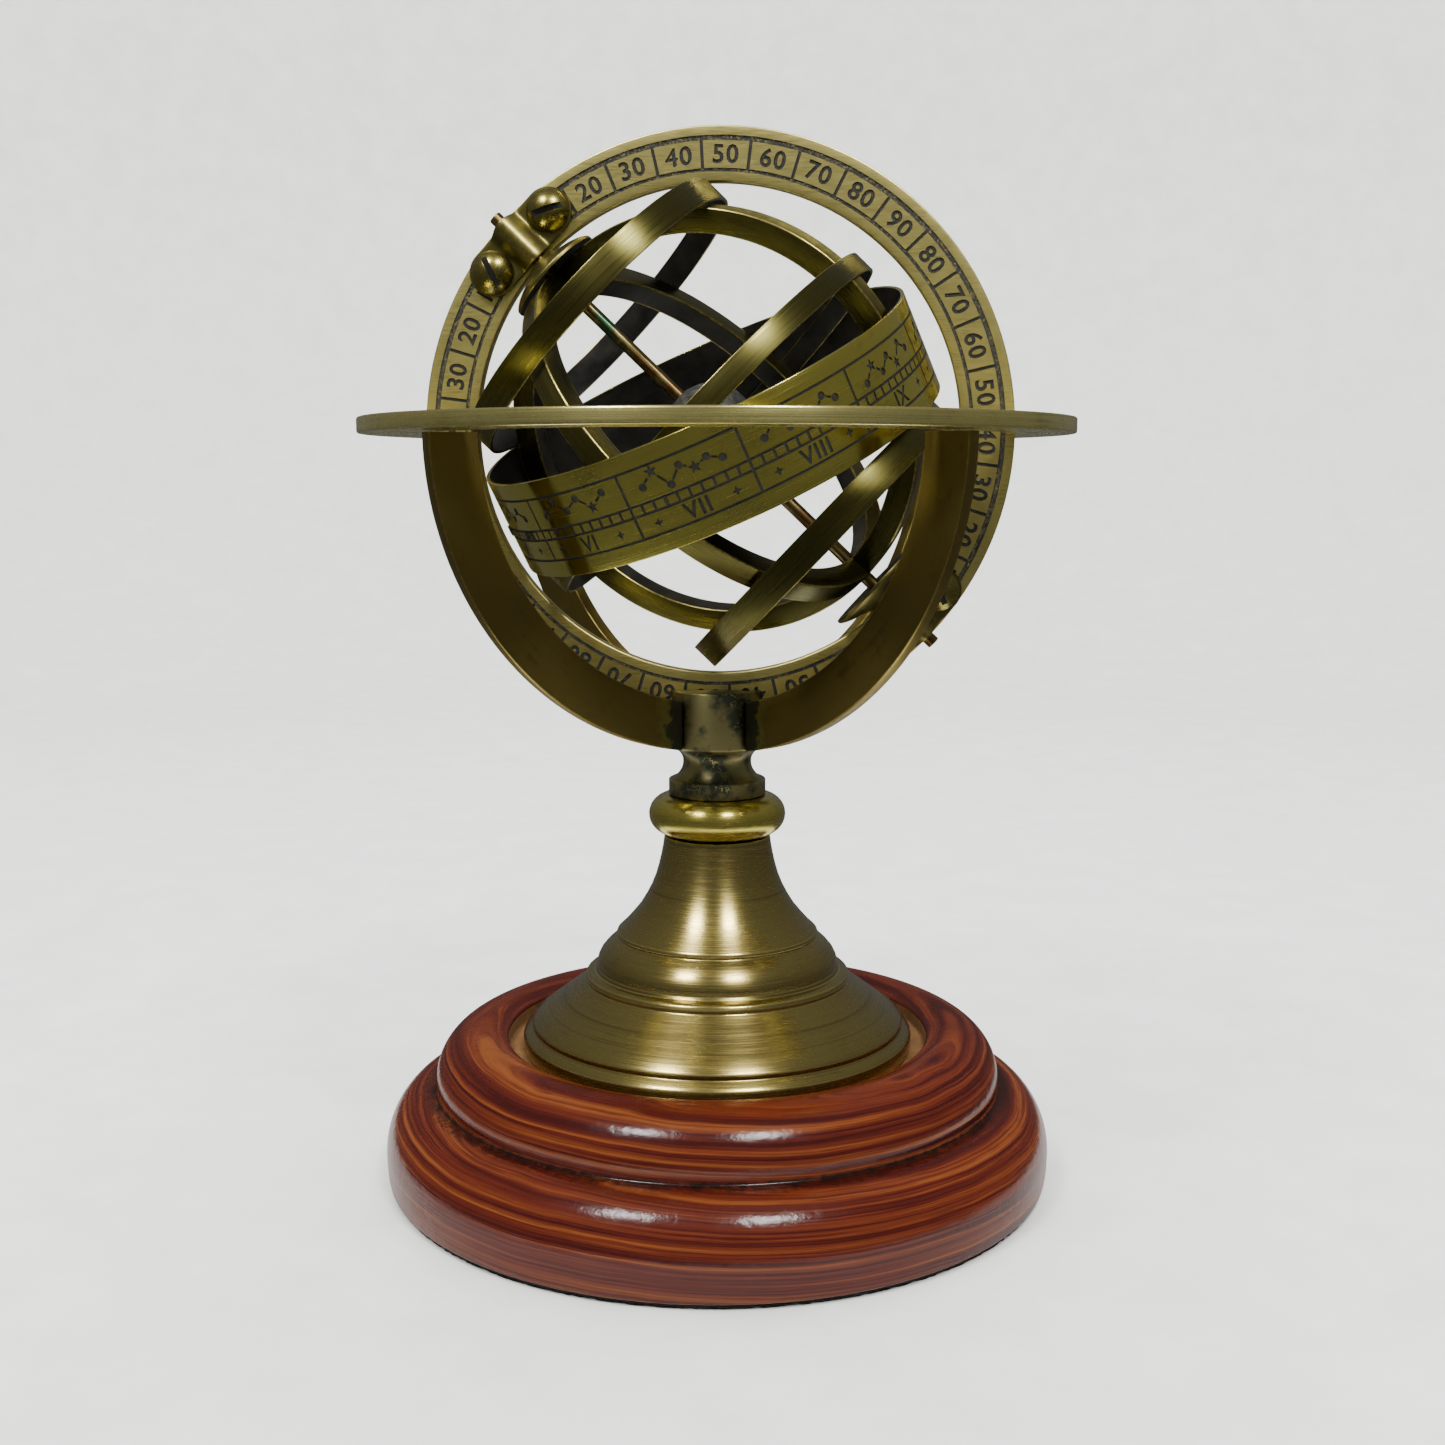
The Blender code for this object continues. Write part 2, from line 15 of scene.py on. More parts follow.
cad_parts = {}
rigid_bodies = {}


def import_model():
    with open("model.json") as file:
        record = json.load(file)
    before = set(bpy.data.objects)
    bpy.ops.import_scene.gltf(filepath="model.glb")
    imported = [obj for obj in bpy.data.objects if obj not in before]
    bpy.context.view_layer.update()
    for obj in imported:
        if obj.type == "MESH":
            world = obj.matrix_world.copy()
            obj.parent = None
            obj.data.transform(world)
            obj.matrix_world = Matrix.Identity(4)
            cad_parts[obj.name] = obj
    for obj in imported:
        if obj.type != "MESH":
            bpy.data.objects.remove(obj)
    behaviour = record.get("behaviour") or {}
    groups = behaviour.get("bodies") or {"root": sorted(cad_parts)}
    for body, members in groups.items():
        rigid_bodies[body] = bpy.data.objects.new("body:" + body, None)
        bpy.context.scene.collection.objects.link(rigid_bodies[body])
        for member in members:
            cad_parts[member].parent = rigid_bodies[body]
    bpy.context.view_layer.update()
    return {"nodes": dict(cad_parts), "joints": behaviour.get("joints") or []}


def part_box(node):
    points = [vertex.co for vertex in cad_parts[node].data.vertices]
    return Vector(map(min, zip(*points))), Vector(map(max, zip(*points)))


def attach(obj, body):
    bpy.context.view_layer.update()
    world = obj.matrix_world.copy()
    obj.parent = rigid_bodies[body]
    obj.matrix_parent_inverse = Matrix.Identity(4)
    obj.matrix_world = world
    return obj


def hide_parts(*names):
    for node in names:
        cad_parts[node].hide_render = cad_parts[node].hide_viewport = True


for old in list(bpy.data.objects):
    bpy.data.objects.remove(old)
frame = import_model()

MM = 0.001
GAP = 0.3 * MM
SOFT = 0.22 * MM
FINE_STEPS = 192
RING_STEPS = 256

# The pivots and directions, from the frame's own joints.
JOINTS = {joint["name"]: joint for joint in frame["joints"]}
POLE = Vector(JOINTS["sphere_spin"]["axis"]).normalized()
AXLE_CENTRE = Vector(JOINTS["sphere_spin"]["pos_m"])
RING_CENTRE = Vector(JOINTS["meridian_tilt"]["pos_m"])
FRONT = Vector((0, -1, 0))
EAST = POLE.cross(FRONT)

# Sizes that a node's box gives.
MERIDIAN_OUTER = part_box("meridian_ring")[1].x
MERIDIAN_THICK = 2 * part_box("meridian_ring")[1].y
HORIZON_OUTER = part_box("horizon_ring")[1].x
HORIZON_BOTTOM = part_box("horizon_ring")[0].z
HORIZON_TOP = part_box("horizon_ring")[1].z
WOOD_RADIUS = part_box("wood_base")[1].x
FELT_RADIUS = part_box("felt_pad")[1].x
FELT_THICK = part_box("felt_pad")[1].z
POST_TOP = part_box("saddle_post")[1].z

# Sizes inside the nodes, as in the CAD.
MERIDIAN_INNER = 45.65 * MM
MERIDIAN_MID = (MERIDIAN_OUTER + MERIDIAN_INNER) / 2
HORIZON_INNER = 54.0 * MM
ARM_INNER = 51.0 * MM
ARM_OUTER = 60.4 * MM
ARM_THICK = 2.8 * MM
ARM_CENTRE_Z = RING_CENTRE.z - 0.4 * MM
ARM_AZIMUTH = math.radians(40)
AXLE_RADIUS = 1.25 * MM
AXLE_HALF = 57.2 * MM
BORE_RADIUS = AXLE_RADIUS + GAP
STRAP_THICK = 1.0 * MM
STRAP_END_RADIUS = 4.4 * MM
STRAP_REACH = 7.7 * MM
HUMP_TOP = 4.05 * MM
SCREW_HEAD_RADIUS = 4.05 * MM
SCREW_HEAD_HEIGHT = 2.2 * MM
SCREW_SHANK_RADIUS = 1.5 * MM
SCREW_HOLE_RADIUS = SCREW_SHANK_RADIUS + GAP
SLOT_WIDTH = 1.1 * MM
SLOT_DEPTH = 1.0 * MM
SLOT_ANGLES = {"a": math.radians(-18.5), "b": math.radians(60.5)}
CAGE_TURN = math.radians(23.5)
CAGE_SHIFT = 1.1 * MM
COLURE_OUTER = 40.4 * MM
COLURE_INNER = 35.9 * MM
COLURE_WIDTH = 4.4 * MM
STRIP_THICK = 0.6 * MM
EQUATOR_INNER = COLURE_OUTER + 0.15 * MM
EQUATOR_WIDTH = 4.2 * MM
PARALLEL_INNER = 31.3 * MM
PARALLEL_WIDTH = 5.3 * MM
PARALLEL_HEIGHT = 28.95 * MM
ZODIAC_INNER = EQUATOR_INNER + STRIP_THICK + GAP
ZODIAC_THICK = 0.7 * MM
ZODIAC_OUTER = ZODIAC_INNER + ZODIAC_THICK
ZODIAC_WIDTH = 18.3 * MM
ZODIAC_TILT = math.radians(26.8)
ZODIAC_NODE = math.radians(-58.1)
CAP_RADIUS = 9.7 * MM
CAP_RIM_HEIGHT = 41.2 * MM
CAP_TOP_HEIGHT = 45.1 * MM
EARTH_RADIUS = 8.3 * MM
POST_RADIUS = 8.8 * MM
POST_FLANGE = 84.3 * MM
COLLAR_RADIUS = 9.4 * MM
COLLAR_TOP = 77.8 * MM
COLLAR_BOTTOM = 74.9 * MM
KNOB_RADIUS = 13.3 * MM
KNOB_BOTTOM = 67.0 * MM
FOOT_RADIUS = 38.2 * MM
ROD_RADIUS = 2.2 * MM
ROD_HOLE = ROD_RADIUS + GAP
ROD_TOP = 83.0 * MM
WOOD_RIM_RADIUS = 41.2 * MM
WOOD_TOP = 28.2 * MM
RECESS_FLOOR = 24.8 * MM
COUNTERBORE_RADIUS = 9.0 * MM
COUNTERBORE_TOP = 9.0 * MM

# Degree scale on the meridian's front face, as radii.
SCALE_DEPTH = 0.22 * MM
SCALE_ZERO = math.radians(138)
SCALE_BORDERS = ((53.05 * MM, 54.0 * MM), (47.45 * MM, 48.1 * MM))
NUMERAL_RADIUS = 50.6 * MM
NUMERAL_HEIGHT = 3.5 * MM
DIVIDER_WIDTH = 0.6 * MM
THIN_SHIFT = (0.12 * MM, 0.09 * MM)    # half the offset between the two cuts of a thin numeral

# Engraving on the zodiac band, as shares of its width from the top rim.
BAND_DEPTH = 0.2 * MM
BAND_PHASE = math.radians(8.2)
BAND_TOP_LINE = 0.172
BAND_TRACK = (0.50, 0.60)
BAND_BOTTOM_LINE = 0.819
BAND_LINE = 0.45 * MM
TRACK_CELLS = 10
ROMAN = ("I", "II", "III", "IV", "V", "VI", "VII", "VIII", "IX", "X", "XI", "XII")
ROMAN_HEIGHT = 2.9 * MM
SIDE_STAR_RADIUS = 0.9 * MM
SIDE_STAR_REACH = 7.2 * MM
PATTERN_WIDTH = 14.5 * MM
PATTERN_SWING = (0.3 * MM, 1.75 * MM)
LARGE_MARK = 1.25 * MM
SMALL_MARK = 0.72 * MM
PATTERN_LINE = 0.42 * MM

# The sheet of paper that the metal mirrors.
SHEET_RADIUS = 115 * MM

# The bare metal of a rubbed edge.
WORN_BRASS = (0.60, 0.49, 0.16)


# ---------------------------------------------------------------- node materials

def put(tree, kind, values=None, **settings):
    """Adds a node. A socket among the values is linked, and anything else is set."""
    made = tree.nodes.new(kind)
    for key, value in settings.items():
        setattr(made, key, value)
    for key, value in (values or {}).items():
        if isinstance(value, bpy.types.NodeSocket):
            tree.links.new(value, made.inputs[key])
        else:
            made.inputs[key].default_value = value
    return made


def calc(tree, operation, first, second=0.0, clamp=False):
    values = {0: first, 1: second}
    return put(tree, "ShaderNodeMath", values, operation=operation, use_clamp=clamp).outputs[0]


def remap(tree, value, low, high, to_low=0.0, to_high=1.0):
    values = {"Value": value, "From Min": low, "From Max": high, "To Min": to_low, "To Max": to_high}
    return put(tree, "ShaderNodeMapRange", values).outputs[0]


def blend_colour(tree, share, first, second):
    made = put(tree, "ShaderNodeMix", data_type="RGBA")
    for socket, value in ((made.inputs[0], share), (made.inputs[6], first), (made.inputs[7], second)):
        if isinstance(value, bpy.types.NodeSocket):
            tree.links.new(value, socket)
        elif isinstance(value, tuple):
            socket.default_value = (*value, 1)
        else:
            socket.default_value = value
    return made.outputs[2]


def noise(tree, vector, scale, detail=3.0, rough=0.55):
    values = {"Vector": vector, "Scale": scale, "Detail": detail, "Roughness": rough}
    return put(tree, "ShaderNodeTexNoise", values).outputs[0]


def new_material(name):
    made = bpy.data.materials.new(name)
    made.use_nodes = True
    return made, made.node_tree, made.node_tree.nodes["Principled BSDF"]


def place_in_mm(tree):
    """The local position in millimetres: as one vector, and as x, y, z and the distance from local Z."""
    where = put(tree, "ShaderNodeTexCoord").outputs["Object"]
    scaled = put(tree, "ShaderNodeVectorMath", {0: where, "Scale": 1000.0}, operation="SCALE")
    vector = scaled.outputs[0]
    split = put(tree, "ShaderNodeSeparateXYZ", {0: vector})
    x, y, z = split.outputs
    flat = put(tree, "ShaderNodeCombineXYZ", {0: x, 1: y})
    radius = put(tree, "ShaderNodeVectorMath", {0: flat.outputs[0]}, operation="LENGTH").outputs["Value"]
    return vector, x, y, z, radius


def brushing(tree, style, vector, x, y, z, radius):
    """Fine streaks: round local Z, or straight along local X."""
    if style == "straight":
        streak = put(tree, "ShaderNodeVectorMath", {0: vector, 1: (0.35, 7.0, 7.0)}, operation="MULTIPLY")
        return noise(tree, streak.outputs[0], 1.0, 3.0, 0.6)
    safe = calc(tree, "MAXIMUM", radius, 0.01)
    around = put(tree, "ShaderNodeCombineXYZ", {
        0: calc(tree, "MULTIPLY", calc(tree, "DIVIDE", x, safe), 2.2),
        1: calc(tree, "MULTIPLY", calc(tree, "DIVIDE", y, safe), 2.2),
        2: calc(tree, "MULTIPLY", z, 5.0),
    })
    values = {"Vector": around.outputs[0], "W": calc(tree, "MULTIPLY", radius, 5.0), "Scale": 1.0,
              "Detail": 3.0, "Roughness": 0.6}
    return put(tree, "ShaderNodeTexNoise", values, noise_dimensions="4D").outputs[0]


def brass(name, bright, dark, rough, patina, style="round", wear=0.6, grain=0.4, extra=None):
    """Antiqued brass: bright metal under a cloudy dark patina, brushed, and worn bright on its edges."""
    material, tree, shader = new_material(name)
    vector, x, y, z, radius = place_in_mm(tree)
    streaks = brushing(tree, style, vector, x, y, z, radius)
    clouds = noise(tree, vector, 0.11, 5.0, 0.6)
    specks = noise(tree, vector, 1.4, 4.0, 0.7)
    mixed = calc(tree, "ADD", calc(tree, "MULTIPLY", clouds, 1 - grain),
                 calc(tree, "MULTIPLY", streaks, grain))
    cover = remap(tree, mixed, 0.62 - 0.35 * patina, 0.40 - 0.35 * patina)
    pits = remap(tree, specks, 0.66, 0.74)
    cover = calc(tree, "MAXIMUM", cover, calc(tree, "MULTIPLY", pits, 0.7))
    edge = put(tree, "ShaderNodeAttribute", attribute_name="wear").outputs["Fac"]
    rubbed = calc(tree, "MULTIPLY", edge, remap(tree, specks, 0.35, 0.6, 0.3, 1.0))
    rubbed = calc(tree, "MULTIPLY", rubbed, wear)
    cover = calc(tree, "SUBTRACT", cover, rubbed, True)
    tint = blend_colour(tree, cover, bright, dark)
    tint = blend_colour(tree, rubbed, tint, WORN_BRASS)
    if extra:
        tint = extra(tree, tint, vector, x, y, z, radius)
    tree.links.new(tint, shader.inputs["Base Color"])
    gloss = calc(tree, "ADD", remap(tree, streaks, 0.3, 0.7, rough - 0.07, rough + 0.09),
                 calc(tree, "MULTIPLY", cover, 0.14), True)
    tree.links.new(gloss, shader.inputs["Roughness"])
    shader.inputs["Metallic"].default_value = 1.0
    if style == "round":
        shader.inputs["Anisotropic"].default_value = 0.65
        shader.inputs["Anisotropic Rotation"].default_value = 0.25
        turned = put(tree, "ShaderNodeTangent", direction_type="RADIAL", axis="Z")
        tree.links.new(turned.outputs[0], shader.inputs["Tangent"])
    bump = put(tree, "ShaderNodeBump", {"Height": streaks, "Strength": 0.8 * grain, "Distance": 0.00002})
    tree.links.new(bump.outputs[0], shader.inputs["Normal"])
    return material


def ink_material(name, fleck):
    """The blackened floor of the engraving, with flecks of bare brass."""
    material, tree, shader = new_material(name)
    vector = place_in_mm(tree)[0]
    grains = noise(tree, vector, 2.6, 4.0, 0.7)
    share = remap(tree, grains, 0.52, 0.64, 0.0, fleck)
    tree.links.new(blend_colour(tree, share, (0.010, 0.009, 0.006), (0.16, 0.13, 0.045)),
                   shader.inputs["Base Color"])
    tree.links.new(remap(tree, grains, 0.3, 0.7, 0.6, 0.85), shader.inputs["Roughness"])
    return material


def saddle_patina(tree, tint, vector, x, y, z, radius):
    """Grey-green tarnish over the post, with bare gold scratches."""
    blotch = noise(tree, vector, 0.13, 4.0, 0.6)
    tint = blend_colour(tree, remap(tree, blotch, 0.44, 0.54), tint, (0.085, 0.094, 0.062))
    scratch = noise(tree, vector, 0.45, 2.0, 0.5)
    line = calc(tree, "ABSOLUTE", calc(tree, "SUBTRACT", scratch, 0.5))
    bare = calc(tree, "MULTIPLY", remap(tree, line, 0.012, 0.004), remap(tree, blotch, 0.5, 0.58))
    return blend_colour(tree, bare, tint, (0.62, 0.50, 0.20))


def arm_solder(tree, tint, vector, x, y, z, radius):
    """Where an arm meets the post, heat has left a dark patch with a yellow edge."""
    ragged = calc(tree, "ADD", x, calc(tree, "MULTIPLY", noise(tree, vector, 0.35, 3.0), 7.0))
    tint = blend_colour(tree, remap(tree, ragged, 18.5, 16.5), tint, (0.30, 0.25, 0.06))
    return blend_colour(tree, remap(tree, ragged, 16.2, 15.2), tint, (0.085, 0.088, 0.05))


def axle_stains(tree, tint, vector, x, y, z, radius):
    """Copper brown along the rod, with green verdigris towards the north end."""
    verdigris_height = 27.0
    patches = noise(tree, vector, 0.3, 4.0)
    tint = blend_colour(tree, remap(tree, patches, 0.42, 0.6), tint, (0.15, 0.085, 0.030))
    near = calc(tree, "ABSOLUTE", calc(tree, "SUBTRACT", z, verdigris_height))
    green = calc(tree, "MULTIPLY", remap(tree, near, 6.0, 3.0), remap(tree, patches, 0.42, 0.5))
    return blend_colour(tree, green, tint, (0.05, 0.11, 0.055))


def turned_grime(tree, tint, vector, x, y, z, radius):
    """Dark lines left in the grooves of the spun foot, in bands of height."""
    bands = put(tree, "ShaderNodeCombineXYZ", {2: z})
    lines = noise(tree, bands.outputs[0], 0.9, 3.0, 0.6)
    return blend_colour(tree, remap(tree, lines, 0.56, 0.66, 0.0, 0.55), tint, (0.045, 0.036, 0.015))


def wood_material():
    """Striped red-brown wood under a gloss varnish, with painted shade darkening the groove under the
    shoulder.
    """
    groove_height = 18.0
    material, tree, shader = new_material("varnished_wood")
    vector, x, y, z, radius = place_in_mm(tree)
    warp = calc(tree, "MULTIPLY", noise(tree, vector, 0.020, 3.0), 2.2)
    slant = calc(tree, "ADD", calc(tree, "MULTIPLY", x, 0.03), calc(tree, "MULTIPLY", y, -0.015))
    layer = calc(tree, "ADD", calc(tree, "ADD", z, warp), slant)
    stretched = put(tree, "ShaderNodeCombineXYZ", {
        0: calc(tree, "MULTIPLY", x, 0.007), 1: calc(tree, "MULTIPLY", y, 0.007),
        2: calc(tree, "MULTIPLY", layer, 1.25)})
    stripes = noise(tree, stretched.outputs[0], 1.0, 3.0, 0.7)
    fibre = put(tree, "ShaderNodeCombineXYZ", {
        0: calc(tree, "MULTIPLY", x, 0.10), 1: calc(tree, "MULTIPLY", y, 0.10),
        2: calc(tree, "MULTIPLY", layer, 4.0)})
    fibres = noise(tree, fibre.outputs[0], 1.0, 3.0, 0.6)
    ramp = put(tree, "ShaderNodeValToRGB", {"Fac": stripes})
    stops = ramp.color_ramp.elements
    stops[0].position, stops[0].color = 0.38, (0.024, 0.0030, 0.0022, 1)
    stops[1].position, stops[1].color = 0.68, (0.120, 0.033, 0.0075, 1)
    middle = stops.new(0.46)
    middle.color = (0.044, 0.0058, 0.0030, 1)
    warm = stops.new(0.55)
    warm.color = (0.070, 0.0125, 0.0042, 1)
    tint = blend_colour(tree, remap(tree, fibres, 0.5, 0.72, 0.0, 0.55), ramp.outputs[0],
                        (0.022, 0.0025, 0.0015))
    # Painted shade: the wood darkens to near black towards the groove under the shoulder, where shade
    # falls.
    groove_shade_distance = calc(tree, "ADD", calc(tree, "ABSOLUTE", calc(tree, "SUBTRACT", z, groove_height)),
                      calc(tree, "MULTIPLY", noise(tree, vector, 0.6, 3.0), 0.9))
    tint = blend_colour(tree, remap(tree, groove_shade_distance, 1.05, 0.5), tint, (0.006, 0.0025, 0.002))
    tree.links.new(tint, shader.inputs["Base Color"])
    shader.inputs["Roughness"].default_value = 0.42
    shader.inputs["Specular IOR Level"].default_value = 0.0
    shader.inputs["Coat Weight"].default_value = 0.5
    shader.inputs["Coat Roughness"].default_value = 0.19
    ripple = put(tree, "ShaderNodeBump", {"Height": noise(tree, vector, 0.45, 4.0), "Strength": 0.5,
                                          "Distance": 0.00016})
    tree.links.new(ripple.outputs[0], shader.inputs["Coat Normal"])
    return material


def plain_noise_material(name, first, second, scale, rough, metallic=0.0, depth=0.00005):
    """A rough two-tone surface, for raw wood, felt, steel, the ball and the painted shade of insides, holes
    and slots.
    """
    material, tree, shader = new_material(name)
    vector = place_in_mm(tree)[0]
    grains = noise(tree, vector, scale, 5.0, 0.65)
    tint = blend_colour(tree, remap(tree, grains, 0.35, 0.65), first, second)
    tree.links.new(tint, shader.inputs["Base Color"])
    tree.links.new(remap(tree, grains, 0.3, 0.7, rough - 0.08, rough + 0.08), shader.inputs["Roughness"])
    shader.inputs["Metallic"].default_value = metallic
    bump = put(tree, "ShaderNodeBump", {"Height": grains, "Strength": 0.6, "Distance": depth})
    tree.links.new(bump.outputs[0], shader.inputs["Normal"])
    return material


FACE_BRASS = brass("engraved_face_brass", (0.72, 0.62, 0.21), (0.25, 0.205, 0.065),
                   rough=0.36, patina=0.4, style="straight", grain=0.5)
RIM_BRASS = brass("horizon_brass", (0.86, 0.77, 0.29), (0.38, 0.33, 0.125),
                  rough=0.25, patina=0.3, grain=0.5)
ARM_BRASS = brass("cradle_brass", (0.25, 0.185, 0.048), (0.10, 0.074, 0.021),
                  rough=0.34, patina=0.5, wear=0.45, extra=arm_solder)
FOOT_BRASS = brass("foot_brass", (0.36, 0.285, 0.095), (0.105, 0.080, 0.024),
                   rough=0.24, patina=0.5, wear=1.0, grain=0.6, extra=turned_grime)
KNOB_BRASS = brass("knob_brass", (0.58, 0.49, 0.11), (0.20, 0.16, 0.04), rough=0.22, patina=0.35)
POST_BRASS = brass("saddle_brass", (0.32, 0.28, 0.12), (0.12, 0.115, 0.065),
                   rough=0.42, patina=0.6, extra=saddle_patina)
STRAP_BRASS = brass("strap_brass", (0.18, 0.155, 0.045), (0.07, 0.062, 0.024),
                    rough=0.36, patina=0.6, style="straight", wear=0.55)
SCREW_BRASS = brass("screw_brass", (0.27, 0.23, 0.065), (0.10, 0.085, 0.03),
                    rough=0.25, patina=0.4, style="straight", wear=0.9)
CAGE_BRASS = brass("cage_brass", (0.105, 0.094, 0.027), (0.026, 0.023, 0.010),
                   rough=0.30, patina=0.6, wear=0.9, grain=0.15)
BAND_BRASS = brass("band_brass", (0.62, 0.545, 0.115), (0.27, 0.235, 0.060),
                   rough=0.19, patina=0.45, grain=0.12)
AXLE_BRASS = brass("axle_brass", (0.24, 0.18, 0.07), (0.10, 0.075, 0.03),
                   rough=0.36, patina=0.4, extra=axle_stains)
# Painted shade: a near-black metal put on inner faces, holes, slots and the caps' hollows, where shade
# falls.
PAINTED_SHADE = plain_noise_material("painted_shade_brass", (0.008, 0.008, 0.007), (0.022, 0.020, 0.015),
                                 scale=0.3, rough=0.46, metallic=0.5)
INK = ink_material("engraving_ink", 0.12)
BORDER_INK = ink_material("border_ink", 0.8)
WOOD = wood_material()
RAW_WOOD = plain_noise_material("raw_wood", (0.075, 0.032, 0.008), (0.15, 0.07, 0.018),
                                scale=0.5, rough=0.8)
FELT = plain_noise_material("black_felt", (0.004, 0.004, 0.004), (0.016, 0.015, 0.014),
                            scale=2.0, rough=0.95, depth=0.0002)
BALL = plain_noise_material("dark_cast_metal", (0.025, 0.026, 0.024), (0.09, 0.09, 0.08),
                            scale=0.9, rough=0.5, metallic=0.7, depth=0.0003)
STEEL = plain_noise_material("zinc_steel", (0.42, 0.42, 0.43), (0.60, 0.60, 0.62),
                             scale=0.8, rough=0.35, metallic=1.0)


# ---------------------------------------------------------------- mesh building

def soften(outline, radius, segments=3):
    """Rounds a closed outline's corners. Each point comes with 1 on a rounded corner, or 0."""
    made = []
    for i, corner in enumerate(outline):
        here = Vector(corner)
        back = Vector(outline[i - 1]) - here
        ahead = Vector(outline[(i + 1) % len(outline)]) - here
        bend = math.pi - back.angle(ahead)
        if bend < math.radians(25) or here.x < 1e-6:
            made.append((here.x, here.y, 0.0))
            continue
        reach = min(radius, 0.4 * back.length, 0.4 * ahead.length)
        start = here + back.normalized() * reach
        end = here + ahead.normalized() * reach
        for k in range(segments + 1):
            t = k / segments
            point = start * (1 - t) ** 2 + here * 2 * t * (1 - t) + end * t ** 2
            made.append((point.x, point.y, float(0 < k < segments)))
    return made


def sweep(outline, steps, span=None, zone=None, soft=SOFT):
    """Turns a closed (radius, height) outline about Z. span(radius, share) gives a part turn's angles,
    and zone(radius, height, outwards) gives a face's material index."""
    points = soften(outline, soft)
    count = len(points)
    builder = bmesh.new()
    wear = builder.verts.layers.float.new("wear")
    grid = []
    for i in range(steps + (1 if span else 0)):
        row = []
        for radius, height, edge in points:
            turn = span(radius, i / steps) if span else 2 * math.pi * i / steps
            vert = builder.verts.new((radius * math.cos(turn), radius * math.sin(turn), height))
            vert[wear] = edge
            row.append(vert)
        grid.append(row)
    area = sum(points[k - 1][0] * points[k][1] - points[k][0] * points[k - 1][1] for k in range(count))
    facing = 1 if area > 0 else -1
    rows = zip(grid, grid[1:]) if span else zip(grid, grid[1:] + grid[:1])
    for row, following in rows:
        for k in range(count):
            after = (k + 1) % count
            face = builder.faces.new((row[k], row[after], following[after], following[k]))
            if zone:
                radius = (points[k][0] + points[after][0]) / 2
                height = (points[k][1] + points[after][1]) / 2
                outwards = facing * (points[after][1] - points[k][1])
                face.material_index = zone(radius, height, outwards)
    if span:
        builder.faces.new(grid[0])
        builder.faces.new(grid[-1])
    bmesh.ops.remove_doubles(builder, verts=builder.verts, dist=1e-7)
    bmesh.ops.recalc_face_normals(builder, faces=builder.faces)
    mesh = bpy.data.meshes.new("swept")
    builder.to_mesh(mesh)
    builder.free()
    return mesh


def box_outline(inner, outer, low, high):
    return [(inner, high), (outer, high), (outer, low), (inner, low)]


def arc(radius, start, end, count, centre=(0, 0), stretch=1.0):
    """Points along an arc, stretched along the second axis."""
    angles = [start + (end - start) * i / count for i in range(count + 1)]
    rise = radius * stretch
    return [(centre[0] + radius * math.cos(a), centre[1] + rise * math.sin(a)) for a in angles]


def frame_from(x_axis, y_axis, z_axis, origin):
    matrix = Matrix((x_axis, y_axis, z_axis)).transposed().to_4x4()
    matrix.translation = origin
    return matrix


def frame_about(axis, origin, towards):
    z_axis = axis.normalized()
    x_axis = (towards - z_axis * towards.dot(z_axis)).normalized()
    return frame_from(x_axis, z_axis.cross(x_axis), z_axis, origin)


def temporary(name, mesh):
    made = bpy.data.objects.new(name, mesh)
    bpy.context.scene.collection.objects.link(made)
    return made


def evaluated(obj):
    """The object's mesh with its modifiers applied."""
    bpy.context.view_layer.update()
    graph = bpy.context.evaluated_depsgraph_get()
    return bpy.data.meshes.new_from_object(obj.evaluated_get(graph))


def carve(mesh, cutters, materials):
    """Cuts each cutter mesh out in turn. A cut face keeps its cutter's material."""
    for material in materials:
        mesh.materials.append(material)
    target = temporary("carving", mesh)
    helpers = []
    for cutter, material in cutters:
        cutter.materials.clear()
        cutter.materials.append(material)
        helper = temporary("cutter", cutter)
        helpers.append(helper)
        cut = target.modifiers.new("cut", "BOOLEAN")
        cut.operation = "DIFFERENCE"
        cut.object = helper
        cut.material_mode = "TRANSFER"
    carved = evaluated(target)
    for helper in [target, *helpers]:
        bpy.data.objects.remove(helper)
    return carved


def bevelled(mesh, width, segments=2, angle=45):
    target = temporary("bevelling", mesh)
    bevel = target.modifiers.new("bevel", "BEVEL")
    bevel.width = width
    bevel.segments = segments
    bevel.limit_method = "ANGLE"
    bevel.angle_limit = math.radians(angle)
    made = evaluated(target)
    bpy.data.objects.remove(target)
    return made


def add_piece(name, mesh, place, body, materials, sharp=38):
    """Puts a finished mesh in its place, on its body, standing for the CAD node of its name."""
    if len(mesh.materials) == 0:
        for material in materials:
            mesh.materials.append(material)
    mesh.shade_smooth()
    mesh.set_sharp_from_angle(angle=math.radians(sharp))
    made = bpy.data.objects.new(name, mesh)
    bpy.context.scene.collection.objects.link(made)
    made.matrix_world = place
    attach(made, body)
    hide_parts(name.removesuffix("_fine"))


def prism(outline, low, high):
    """A closed prism of a flat outline, as a builder's vertices and faces in (x, y, z)."""
    count = len(outline)
    points = [(x, y, low) for x, y in outline] + [(x, y, high) for x, y in outline]
    faces = [tuple(reversed(range(count))), tuple(range(count, 2 * count))]
    faces += [(k, (k + 1) % count, count + (k + 1) % count, count + k) for k in range(count)]
    return points, faces


def mesh_from(parts, bend=None):
    """One mesh from many closed prisms, each bent or placed by a function of its points."""
    points, faces = [], []
    for part_points, part_faces in parts:
        start = len(points)
        points += [bend(point) if bend else point for point in part_points]
        faces += [tuple(start + k for k in face) for face in part_faces]
    mesh = bpy.data.meshes.new("prisms")
    mesh.from_pydata(points, [], faces)
    builder = bmesh.new()
    builder.from_mesh(mesh)
    bmesh.ops.recalc_face_normals(builder, faces=builder.faces)
    builder.to_mesh(mesh)
    builder.free()
    return mesh


